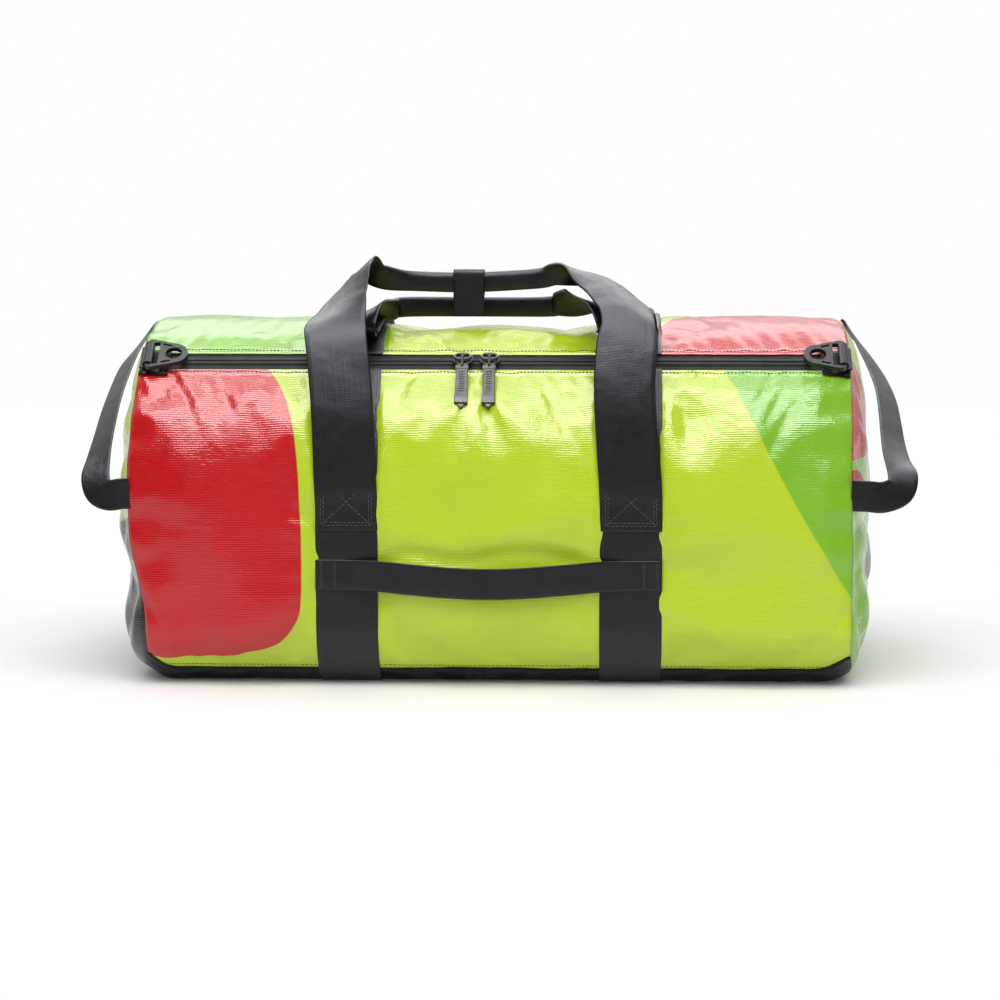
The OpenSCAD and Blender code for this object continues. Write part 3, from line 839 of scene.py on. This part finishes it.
def strap(name, x0, x1, a0, a1, low, thickness, body, node, material=WEB):
    """Flat strip on the body between two X and two a, its underside low above the cloth."""
    across = spaced(x0, x1, (x1 - x0) / 8)
    rows = spaced(a0, a1, 0.004)
    points, flat = body_grid(across, rows, low)
    flat = flat - np.array([(x0 + x1) / 2, 0])
    obj = new_piece(name, points, grid_faces(len(rows), len(across), a1 < a0), [material], flat)
    thicken(obj, thickness, offset=1.0)
    bevel(obj, thickness * 0.35)
    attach(obj, body)
    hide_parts(node)


hem_stitches = Rods("hem_stitches", "bag", DARK_THREAD, "webbing")
flap_stitches = Rods("flap_stitches", "flap", DARK_THREAD, "webbing")
band_stitches = Rods("band_stitches", "bag", GREY_THREAD, "webbing")
flap_band_stitches = Rods("flap_band_stitches", "flap", GREY_THREAD, "webbing")

STRAP_GAP = 0.0001
BAND_END = SEAM + 0.03
# Heights of the stitches above the cloth, and the bolder row along the hems
ON_BAND = 0.0015
HEM_ROW = {"lift": 0.0009, "pitch": 0.003, "radius": 0.00045}

for (side_name, _), middle in zip(SIDES, BANDS):
    low, high = middle - BAND_HALF, middle + BAND_HALF
    for part, start, end, body in (("front", ZIP + TAPE - 0.001, BAND_END, "bag"),
                                   ("top", ZIP - TAPE + 0.001, FOLD, "flap"),
                                   ("back", FOLD, -BAND_END, "bag")):
        strap(f"{part}_band_{side_name}", low, high, start, end, STRAP_GAP, 0.0014, body,
              f"{part}_webbing_{side_name}")
    for edge in (low + 0.0028, high - 0.0028):
        hem_stitches.on_body([(edge, ZIP + TAPE + 0.003), (edge, SEAM - 0.002)], ON_BAND)
        hem_stitches.on_body([(edge, FOLD - 0.003), (edge, -SEAM + 0.002)], ON_BAND)
        flap_stitches.on_body([(edge, ZIP - TAPE - 0.003), (edge, FOLD + 0.003)], ON_BAND)

front_line, flap_line, base_line = ZIP + TAPE + 0.0038, ZIP - TAPE - 0.0038, SEAM - 0.004
flap_ends = BANDS[0] + BAND_HALF, BANDS[1] - BAND_HALF
for low, high in between_bands(-HALF + EDGE_LINE, HALF - EDGE_LINE):
    hem_stitches.on_body([(low, front_line), (high, front_line)], **HEM_ROW)
    hem_stitches.on_body([(low, base_line), (high, base_line)], 0.0001)
flap_stitches.on_body([(x, flap_line) for x in flap_ends], **HEM_ROW)
for (side_name, side_sign), middle in zip(SIDES, BANDS):
    end_row = Rods(f"top_stitches_{side_name}", None, DARK_THREAD, "webbing")
    start = middle + side_sign * BAND_HALF
    end_row.on_body([(start, flap_line), (side_sign * (HALF - EDGE_LINE), flap_line)], **HEM_ROW)
    bend_with_flap(end_row.finish())


# --- Zip ---


def tape_lift(columns, rows):
    """Coated tape with a raised bead over the coil beside the zip's middle."""
    away = np.abs(rows - ZIP)
    return -0.0007 + 0.0016 * smooth(0.0048, 0.003, away) * smooth(-0.0006, 0.0009, away)


def tape(name, x0, x1, side, body, node):
    """One side of the zip: side 1 is the front row, -1 the rear row."""
    across = spaced(x0, x1, 0.006)
    away = np.array([0.0002, 0.0006, 0.0011, 0.0018, 0.0026, 0.0034, 0.0042, 0.005, 0.0065, 0.0085,
                     TAPE + 0.0015])
    rows = ZIP + side * away
    points, flat = body_grid(across, rows, tape_lift)
    obj = new_piece(name, points, grid_faces(len(rows), len(across), side < 0), [TAPE_CLOTH], flat)
    thicken(obj, 0.0007)
    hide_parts(node)
    if body:
        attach(obj, body)
    else:
        bend_with_flap(obj)


def coil(name, x0, x1, side, body, node):
    """The coil's turns under the edge of the coated tape."""
    pitch, radius = 0.0017, 0.00042
    turns = Rods(name, body, COIL, "zip_teeth")
    shift = 0.25 * pitch * side
    for x in np.arange(x0 + pitch / 2, x1, pitch) + shift:
        rows = ZIP + side * np.array([-0.0004, 0.0034])
        points = surface(np.full(2, x), rows, -0.0009)
        turns.rod(points[0], points[1], normal(rows[0]), radius)
    obj = turns.finish()
    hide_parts(node)
    if not body:
        bend_with_flap(obj)


for part, x0, x1, side, body in (("front", -HALF, HALF, 1, "bag"), ("rear", *BANDS, -1, "flap"),
                                 ("rear_left", -HALF, BANDS[0], -1, None),
                                 ("rear_right", BANDS[1], HALF, -1, None)):
    tape(f"tape_{part}", x0, x1, side, body, f"zip_tape_{part}")
    coil(f"coil_{part}", max(x0, -ZIP_END), min(x1, ZIP_END), side, body, f"zip_teeth_{part}")

for side_name, side_sign in SIDES:
    near, far = sorted([side_sign * 0.266, side_sign * (HALF - 0.001)])
    low, high = ZIP - 0.0125, ZIP + 0.0175
    strap(f"zip_tab_{side_name}", near, far, low, high, 0.0012, 0.0013, "bag", f"zip_end_tab_{side_name}",
          BASE_CLOTH)
    inner, outer = side_sign * 0.269, side_sign * (HALF - EDGE_LINE)
    hem_stitches.on_body([(inner, low + 0.003), (inner, high - 0.003), (outer, high - 0.003)], 0.0026)


# --- Ribbons: the handles ---


def smooth_rows(rows, steps):
    """Catmull-Rom curve through rows of numbers."""
    padded = np.vstack([rows[:1], rows, rows[-1:]])
    out = []
    for i in range(len(rows) - 1):
        a, b, c, d = padded[i : i + 4]
        for t in np.arange(steps) / steps:
            out.append((2 * b + (c - a) * t + (2 * a - 5 * b + 4 * c - d) * t * t
                        + (3 * b - a - 3 * c + d) * t ** 3) / 2)
    return np.array(out + [rows[-1]])


RIBBON_COLUMNS = 10
CREASE = 0.3


def ribbon(name, rows, nodes, steps=8):
    """Webbing along rows. Where it is narrow and thick it is folded lengthwise, with a crease.

    A ninth number in a row curls the edges by that much towards the strap's inner face.
    """
    line = smooth_rows(rows, steps)
    place, wide = line[:, :3], line[:, 3:6]
    width, thick = line[:, 6], line[:, 7]
    ahead = np.gradient(place, axis=0)
    length = np.concatenate([[0], np.cumsum(np.linalg.norm(np.diff(place, axis=0), axis=1))])
    ahead /= np.linalg.norm(ahead, axis=1, keepdims=True)
    wide = wide - ahead * (wide * ahead).sum(1, keepdims=True)
    wide /= np.linalg.norm(wide, axis=1, keepdims=True)
    deep = np.cross(ahead, wide)
    flatness = np.clip((width / thick - 2.5) / 8, 0, 1)
    power = 2.6 + 9 * flatness
    u = np.sin(math.pi / 2 * np.linspace(-1, 1, RIBBON_COLUMNS + 1))
    loop = [(value, 1) for value in u] + [(value, -1) for value in u[-2:0:-1]]
    points, flat = [], []
    for i in range(len(place)):
        for value, face in loop:
            depth = (1 - abs(value) ** power[i]) ** (1 / power[i]) * face
            if face < 0:
                depth *= 1 - CREASE * (1 - flatness[i]) * math.exp(-((value + 0.25) / 0.16) ** 2)
            inwards = depth * thick[i] / 2 + line[i, 8] * (value * value - 0.33)
            points.append(place[i] + wide[i] * value * width[i] / 2 + deep[i] * inwards)
            flat.append((value * width[i] / 2, length[i]))
    obj = new_piece(name, points, ring_faces(len(place), len(loop)), [WEB], np.array(flat))
    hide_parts(*nodes)
    return obj


def even(rows, width, thickness, before=(), after=()):
    """Rows for mm() with one width and one thickness, and what else they all start and end with."""
    return [[*before, *row, *after, width, thickness] for row in rows]


# Each leg of a carry handle goes from its sewn foot over the bag's shoulder to the grip
front_left_leg = edges([
    [-142, -152.5, 129, -92, -152.5, 129, 1.5], [-142, -152.5, 150, -92, -152.5, 150, 1.5],
    [-143, -152.7, 172, -93, -152.7, 172, 1.5], [-145, -146.5, 215, -95, -146.5, 215, 1.5, 1],
    [-148, -136, 249, -98, -136, 249, 1.5, 1], [-152, -122, 279, -102, -124, 280, 1.5],
    [-154, -106, 290, -103.5, -112, 298, 1.5], [-146, -78, 301, -104.5, -103, 313, 1.5],
    [-137, -64, 312, -104.6, -97, 320, 1.5], [-129, -56, 321, -104.6, -90, 328, 1.5],
    [-121, -48, 330, -104.6, -80, 338, 1.6], [-113, -41, 329, -105, -69, 344, 1.8],
    [-104, -35, 323, -97.5, -52, 339, 3],
]) + [[-89, -31, 327, 0, -0.35, 0.94, 20, 6], [-70, -22.5, 325, 0, 0, 1, 17, 9],
      [-24, -22.5, 324, 0, 0, 1, 17, 9]]
front_right_leg = edges([
    [136, -152.5, 129, 86, -152.5, 129, 1.5], [136, -152.5, 150, 86, -152.5, 150, 1.5],
    [135, -152.7, 172, 85, -152.7, 172, 1.5], [131.5, -146.5, 217, 82, -146.5, 217, 1.5, 1],
    [130, -137, 251, 81, -139, 246, 1.5, 1], [131, -122, 284, 84, -129, 271, 1.5, 1],
    [129, -108, 298, 88, -121, 290, 1.5, 2], [124, -85, 309, 89.7, -114, 302, 1.5, 4],
    [116, -64, 317, 86, -101, 312, 1.5, 7], [106, -48, 324, 80, -86, 321, 1.5, 9],
    [90, -36, 328, 71, -70, 329, 1.8, 9], [70, -26, 324, 60, -48, 339, 3, 4],
]) + [[48, -28, 331, 0, -0.4, 0.9, 20, 6], [32, -22.5, 327, 0, 0, 1, 17, 9]]
front_handle = ribbon("front_carry_handle", mm(front_left_leg + front_right_leg[::-1]),
                      ["front_handle", "front_handle_ends"])
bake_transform(front_handle)

rear_left_leg = [
    [-117, 57, 284.5, 1, 0, 0, 50, 1.5], [-117, 38, 291.3, 1, 0, 0, 50, 1.5],
    [-117, 15.5, 296, 1, 0, 0, 50, 1.6], [-117, -15, 296.5, 1, 0, 0, 50, 1.6],
    [-119, -45, 291.5, 1, 0, 0, 50, 1.6], [-121, -68, 285, 1, 0, 0, 50, 1.6],
    [-121, -82, 286, 1, 0, 0.05, 49, 1.6], [-118, -83, 293, 1, 0, 0.15, 46, 1.6],
    [-111, -68, 299, 0.9, -0.3, 0.35, 38, 2], [-101, -44, 300, 0.5, -0.6, 0.7, 26, 3],
    [-88, -20, 301, 0.1, -0.4, 0.95, 19, 6], [-72, -9, 303, 0, 0, 1, 17, 9],
]
rear_right_leg = [
    [111, 57, 284.5, -1, 0, 0, 50, 1.5], [111, 38, 291.3, -1, 0, 0, 50, 1.5],
    [111, 15.5, 296, -1, 0, 0, 50, 1.6], [111, -15, 296.5, -1, 0, 0, 50, 1.6],
    [111, -45, 291.5, -1, 0, 0, 50, 1.6], [109, -68, 285, -1, 0, 0, 50, 1.6],
    [108, -82, 287, -1, 0, 0, 50, 1.6], [105, -84, 296, -1, 0, 0.1, 50, 1.6],
    [94, -68, 304, -0.95, -0.2, 0.25, 48, 1.6], [76, -42, 308, -0.7, -0.6, 0.3, 40, 2.2],
    [52, -18, 306, -0.1, -0.3, 0.95, 22, 6], [36, -9, 303, 0, 0, 1, 17, 9],
]
rear_handle = ribbon("rear_carry_handle", mm(rear_left_leg + rear_right_leg[::-1]),
                     ["rear_handle", "rear_handle_ends"])
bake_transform(rear_handle)

wrap_rows = even([
    [-27.4, 314.4], [-22.5, 313.6], [-17.9, 314.6], [-16.9, 324], [-17.9, 333], [-22.5, 334.4],
    [-27.6, 333.2], [-28.9, 324], [-29, 312], [-28.2, 302], [-28, 295.5],
], 26, 1.3, before=[-24], after=[1, 0, 0])
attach(ribbon("grip_wrap", mm(wrap_rows), ["handle_wrap"], steps=6), "front_handle")

grab_rows = even([
    [-142, -152.4, 93], [-122, -152.4, 93], [-108, -154.4, 93], [-92, -159.6, 93], [-62, -166.4, 91],
    [-30, -170, 89], [-4, -171, 88.4], [22, -170, 89], [54, -166.4, 91], [84, -159.6, 93],
    [99, -154.4, 93], [110, -152.4, 93], [136, -152.4, 93],
], 25, 1.5, after=[0, 0, 1])
grab = ribbon("front_grab_handle", mm(grab_rows), ["grab_handle", "grab_handle_ends"])
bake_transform(grab)


def end_handle_rows(side):
    """Strap that leaves the front seam flat, folds over itself and climbs to the top seam."""
    foot = [[292 if side < 0 else 286.5, -148.8, 158, 0, 0, 1], [299, -149, 157.6, 0, 0, 1]]
    if side < 0:
        climb = [[309, -149, 156.5, 0, 0.1, 1], [317.5, -147, 161, -0.7, 0, 0.7],
                 [321, -139, 173, -0.95, -0.1, 0.3], [321, -120, 188, -0.85, -0.25, 0.42],
                 [320.5, -95, 205, -0.78, -0.33, 0.5], [320, -65, 223, -0.74, -0.38, 0.53],
                 [318.5, -35, 239, -0.72, -0.4, 0.54], [315.5, -3, 256, -0.7, -0.42, 0.55],
                 [310.5, 22, 268, -0.6, -0.5, 0.58], [305, 40, 278, -0.35, -0.8, 0.45]]
    else:
        climb = [[312, -149, 157, 0, 0.1, 1], [325, -147, 162.5, -0.7, 0, 0.7],
                 [328, -139, 174, -0.95, -0.1, 0.1], [325, -120, 186, -0.9, -0.2, 0.3],
                 [324, -98, 199, -0.84, -0.3, 0.42], [324, -72, 215, -0.8, -0.33, 0.5],
                 [323.5, -42, 231, -0.77, -0.36, 0.53], [319.5, -13, 246, -0.74, -0.4, 0.55],
                 [312, 12, 262, -0.65, -0.45, 0.6], [304, 34, 276, -0.4, -0.75, 0.5]]
    head = [[297, 48.3, 283.5, 0, -0.95, 0.33], [288, 48.8, 284.1, 0, -0.95, 0.33]]
    rows = foot + climb + head
    return mm(even([[side * x, y, z, side * dx, dy, dz] for x, y, z, dx, dy, dz in rows], 25, 1.5))


for side_name, side_sign in SIDES:
    rows = end_handle_rows(side_sign)
    handle = ribbon(f"end_grab_handle_{side_name}", rows if side_sign > 0 else rows[::-1],
                    [f"end_handle_{side_name}", f"end_handle_{side_name}_ends"])
    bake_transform(handle)

strap("ridge_strip", -0.052, 0.014, -0.0039, -0.0262, STRAP_GAP, 0.0012, "flap", "ridge_patch",
      BASE_CLOTH)

# Stitches of the handles' feet: half the box's width, the thread's radius and its height above the cloth
FOOT_HALF = 0.0205
FOOT_THREAD = 0.00034
FRONT_FOOT_LIFT, FOOT_LIFT = 0.0036, 0.0034
# The a of the floor, if the front went straight down to it
DOWN_FRONT = ARC + ROUND_Z


def boxed_cross(rods, middle, top, low, lift, insets):
    """Stitches round a handle's foot, once for each inset, and across it from corner to corner."""
    left, right = middle - FOOT_HALF, middle + FOOT_HALF
    box = [(left, top), (right, top), (right, low), (left, low), (left, top)]
    for inset in insets:
        inner = [(x + math.copysign(inset, middle - x), a + math.copysign(inset, (top + low) / 2 - a))
                 for x, a in box]
        rods.on_body(inner, lift, radius=FOOT_THREAD)
    rods.on_body([box[0], box[2]], lift, radius=FOOT_THREAD)
    rods.on_body([box[1], box[3]], lift, radius=FOOT_THREAD)


for middle in BANDS:
    boxed_cross(band_stitches, middle, DOWN_FRONT - 0.170, DOWN_FRONT - 0.1335, FRONT_FOOT_LIFT,
                (0.0, 0.0022))
    boxed_cross(flap_band_stitches, middle, -0.024, -0.053, FOOT_LIFT, (0.0,))

# Bartacks of the grab handle
grab_a = DOWN_FRONT - 0.093
for x in (-0.127, -0.138, 0.121, 0.132):
    for step in (0.0, 0.0013):
        band_stitches.on_body([(x + step, grab_a - 0.0105), (x + step, grab_a + 0.0105)], FOOT_LIFT,
                              pitch=0.0022, radius=0.00032)
for rods in (hem_stitches, flap_stitches, band_stitches, flap_band_stitches):
    rods.finish()


# --- Sliders, pulls and rings ---

ZIP_ANGLE = ZIP / RADIUS
# The bar that the pull hangs on, above the zip and down the slope from it, and how steeply the pull hangs
BAIL_LIFT, BAIL_REACH = 0.009, -0.0072
DROOP = math.radians(12)
RIM = 0.0005
CORNER_STEPS = 5
TUBE_SIDES = 10


def solid(name, outline, low, high, place, body, material=PLASTIC):
    """Outline in X and Y, given anticlockwise, raised from low to high at a place, with rounded edges."""
    count = len(outline)
    points = [place @ Vector((x, y, z)) for z in (low, high) for x, y in outline]
    faces = [tuple(range(count))[::-1], tuple(range(count, 2 * count)), *ring_faces(2, count, caps=False)]
    obj = new_piece(name, points, faces, [material])
    bevel(obj, RIM, 3)
    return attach(obj, body)


def rounded(half_x, half_y, corner, middle=(0, 0)):
    """Rectangle with round corners."""
    points = []
    for quarter, (sx, sy) in enumerate(((1, 1), (-1, 1), (-1, -1), (1, -1))):
        for step in range(CORNER_STEPS + 1):
            angle = math.pi / 2 * (quarter + step / CORNER_STEPS)
            points.append((middle[0] + sx * (half_x - corner) + corner * math.cos(angle),
                           middle[1] + sy * (half_y - corner) + corner * math.sin(angle)))
    return points


def tube(name, route, radius, body, closed=False):
    """Round plastic bar along points."""
    route = np.array(route, float)
    if closed:
        ahead = np.roll(route, -1, 0) - np.roll(route, 1, 0)
    else:
        ahead = np.gradient(route, axis=0)
    ahead /= np.linalg.norm(ahead, axis=1, keepdims=True)
    points = []
    side = np.cross(ahead[0], [0.3, 0.5, 0.8])
    for p, t in zip(route, ahead):
        side = side - t * (side @ t)
        side /= np.linalg.norm(side)
        up = np.cross(t, side)
        points += [p + radius * (side * math.cos(v) + up * math.sin(v))
                   for v in 2 * math.pi * np.arange(TUBE_SIDES) / TUBE_SIDES]
    obj = new_piece(name, points, ring_faces(len(route), TUBE_SIDES, closed=closed), [PLASTIC])
    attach(obj, body)


def slider(name, x):
    """A plate over both rows, a bridge with a post, and the ring and bar that the pull hangs on."""
    body = f"slider_{name}"
    place = on_skin(x, ZIP_ANGLE)
    outline = [(0.0085, -0.003), (0.0085, 0.003), (0.0045, 0.0068), (-0.0045, 0.0068),
               (-0.0085, 0.003), (-0.0085, -0.003), (-0.0045, -0.0088), (0.0045, -0.0088)]
    plate = solid(f"slider_plate_{name}", outline, 0.0022, 0.0042, place, body)
    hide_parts(f"zip_slider_{name}")
    solid(f"slider_web_{name}", rounded(0.0042, 0.0052, 0.0018, (0, -0.0006)), 0.0038, 0.0058, place, body)
    solid(f"slider_post_{name}", rounded(0.0034, 0.0014, 0.0012, (0, 0.0022)), 0.004, 0.0072, place, body)
    ring = []
    for step in range(28):
        angle = 2 * math.pi * step / 28
        ring.append(place @ Vector((0.0066 * math.cos(angle), BAIL_REACH + 0.0046 + 0.0052 * math.sin(angle),
                                    BAIL_LIFT - 0.0012 - 0.0016 * math.sin(angle))))
    tube(f"slider_ring_{name}", ring, 0.00135, body, closed=True)
    bar = [place @ Vector((s * 0.0063, BAIL_REACH, BAIL_LIFT)) for s in (-1, 1)]
    tube(f"slider_bar_{name}", bar, 0.0011, body)


def pull(name, x):
    """Rubber pull: a collar on the cord, a body with a grained face, and a darker end block."""
    place = (on_skin(x, ZIP_ANGLE) @ Matrix.Translation((0, BAIL_REACH, BAIL_LIFT))
             @ Matrix.Rotation(DROOP, 4, "X") @ Matrix.Rotation(math.pi, 4, "X"))
    body = f"pull_{name}"
    tip = [(-0.0036, 0.0445), (0.0036, 0.0445), (0.0008, 0.0492), (-0.0008, 0.0492)]
    parts = [("collar", rounded(0.0054, 0.002, 0.001, (0, 0.0088)), 0.0021, RUBBER),
             ("body", rounded(0.0048, 0.0138, 0.0012, (0, 0.0235)), 0.0017, RUBBER),
             ("block", rounded(0.0054, 0.0046, 0.0014, (0, 0.0405)), 0.0024, PLASTIC),
             ("tip", tip, 0.0013, PLASTIC)]
    for part, outline, half, material in parts:
        piece = solid(f"pull_{part}_{name}", outline, -half, half, place, body, material)
        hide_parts(f"zip_pull_{name}")
    ribs = Rods(f"pull_ribs_{name}", body, RUBBER, "moulded_plastic")
    up = place.to_3x3() @ Vector((0, 0, -1))
    for y in np.arange(0.0135, 0.035, 0.0024):
        ribs.rod(place @ Vector((-0.0031, y, -0.0016)), place @ Vector((0.0031, y, -0.0016)), up, 0.0006)
    ribs.finish()


for side_name, _ in SIDES:
    cord_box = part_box(f"pull_cord_{side_name}")
    slider_x = (cord_box[0].x + cord_box[1].x) / 2
    slider(side_name, slider_x)
    pull(side_name, slider_x)

# CAD solids that stay: their material, and how far their edges are rounded
CAD_FINISH = {"pull_cord": (CORD, 0.0), "strap_ring": (PLASTIC, 0.0011), "ring_loop": (WEB, 0.0004)}
for kind, (material, rim) in CAD_FINISH.items():
    for side_name, _ in SIDES:
        node = frame["nodes"][f"{kind}_{side_name}"]
        node.data.materials.clear()
        node.data.materials.append(material)
        if rim:
            bevel(node, rim, 3)


# --- Floor, light and camera ---


def floor():
    """White table under the bag that turns into plain white light further away."""
    mesh = bpy.data.meshes.new("floor")
    mesh.from_pydata([(-3.5, -1.07, 0), (3.5, -1.07, 0), (3.5, 3, 0), (-3.5, 3, 0)], [], [(0, 1, 2, 3)])
    obj = bpy.data.objects.new("floor", mesh)
    SCENE.collection.objects.link(obj)
    paint = Paint("floor")
    where = paint.node("VectorMath", paint.node("TexCoord").outputs["Object"], (0.75, 1.15, 1.0),
                       operation="MULTIPLY").outputs[0]
    away = paint.node("VectorMath", where, operation="LENGTH").outputs["Value"]
    glow = paint.node("Emission", (1.0, 1.0, 1.0, 1), 1.02)
    paint.finish(Base_Color=(0.9, 0.9, 0.9, 1), Roughness=0.9, Specular_IOR_Level=0.05)
    blended = paint.node("MixShader", paint.stretch(away, 0.3, 0.56), paint.shader.outputs[0],
                         glow.outputs[0])
    paint.tree.links.new(blended.outputs[0], paint.tree.nodes["Material Output"].inputs[0])
    mesh.materials.append(paint.material)


def softbox(name, place, aim, size, watts, seen_by):
    """Rectangular light for the cloth only, left out of reflections, or for the gloss only."""
    data = bpy.data.lights.new(name, "AREA")
    data.shape = "RECTANGLE"
    data.size, data.size_y = size
    data.energy = watts
    obj = bpy.data.objects.new(name, data)
    obj.location = place
    obj.rotation_euler = (Vector(aim) - Vector(place)).to_track_quat("-Z", "Y").to_euler()
    obj.visible_glossy = seen_by != "cloth"
    obj.visible_diffuse = seen_by != "gloss"
    SCENE.collection.objects.link(obj)


def world():
    """White to the camera. Other rays see a dim room in front and a bright wall behind."""
    made = bpy.data.worlds.new("studio")
    SCENE.world = made
    made.use_nodes = True
    made.node_tree.nodes.clear()
    nodes = Nodes(made.node_tree)
    split = nodes.node("SeparateXYZ", nodes.node("TexCoord").outputs["Generated"]).outputs
    wall = nodes.node("MapRange", split[1], -0.25, 0.35, 0.04, 0.7, interpolation_type="SMOOTHSTEP")
    ceiling = nodes.node("MapRange", split[2], 0.3, 0.9, 0.04, 0.25, interpolation_type="SMOOTHSTEP")
    room = nodes.node("Background", (1, 1, 1, 1), nodes.plus(wall.outputs[0], ceiling.outputs[0]))
    white = nodes.node("Background", (1, 1, 1, 1))
    seen = nodes.node("LightPath").outputs["Is Camera Ray"]
    mixed = nodes.node("MixShader", seen, room.outputs[0], white.outputs[0])
    nodes.node("OutputWorld", mixed.outputs[0])


def camera():
    """At the height of someone seated, 2.4 m away and 2 degrees round to the bag's right."""
    target = Vector((0.001, 0, 0.138))
    turn, rise, away = math.radians(2), math.radians(6), 2.4
    back = Vector((math.sin(turn) * math.cos(rise), -math.cos(turn) * math.cos(rise), math.sin(rise)))
    data = bpy.data.cameras.new("camera")
    data.sensor_width = 36
    data.lens = 101.2
    obj = bpy.data.objects.new("camera", data)
    obj.location = target + back * away
    obj.rotation_euler = (-back).to_track_quat("-Z", "Y").to_euler()
    SCENE.collection.objects.link(obj)
    SCENE.camera = obj


floor()
world()
softbox("overhead", (0, -1.2, 1.8), (0, 0, 0.2), (2.4, 1.5), 42, "cloth")
softbox("fill", (0, -3.0, 1.1), (0, 0, 0.15), (2.4, 1.4), 26, "cloth")
softbox("gleam", (-0.15, -0.7, 2.0), (-0.1, -0.1, 0.2), (1.9, 0.95), 66, "gloss")
softbox("gleam_behind", (0, 1.25, 1.75), (0, 0, 0.25), (2.6, 1.5), 50, "gloss")
camera()
SCENE.view_settings.view_transform = "Standard"

bpy.context.view_layer.update()
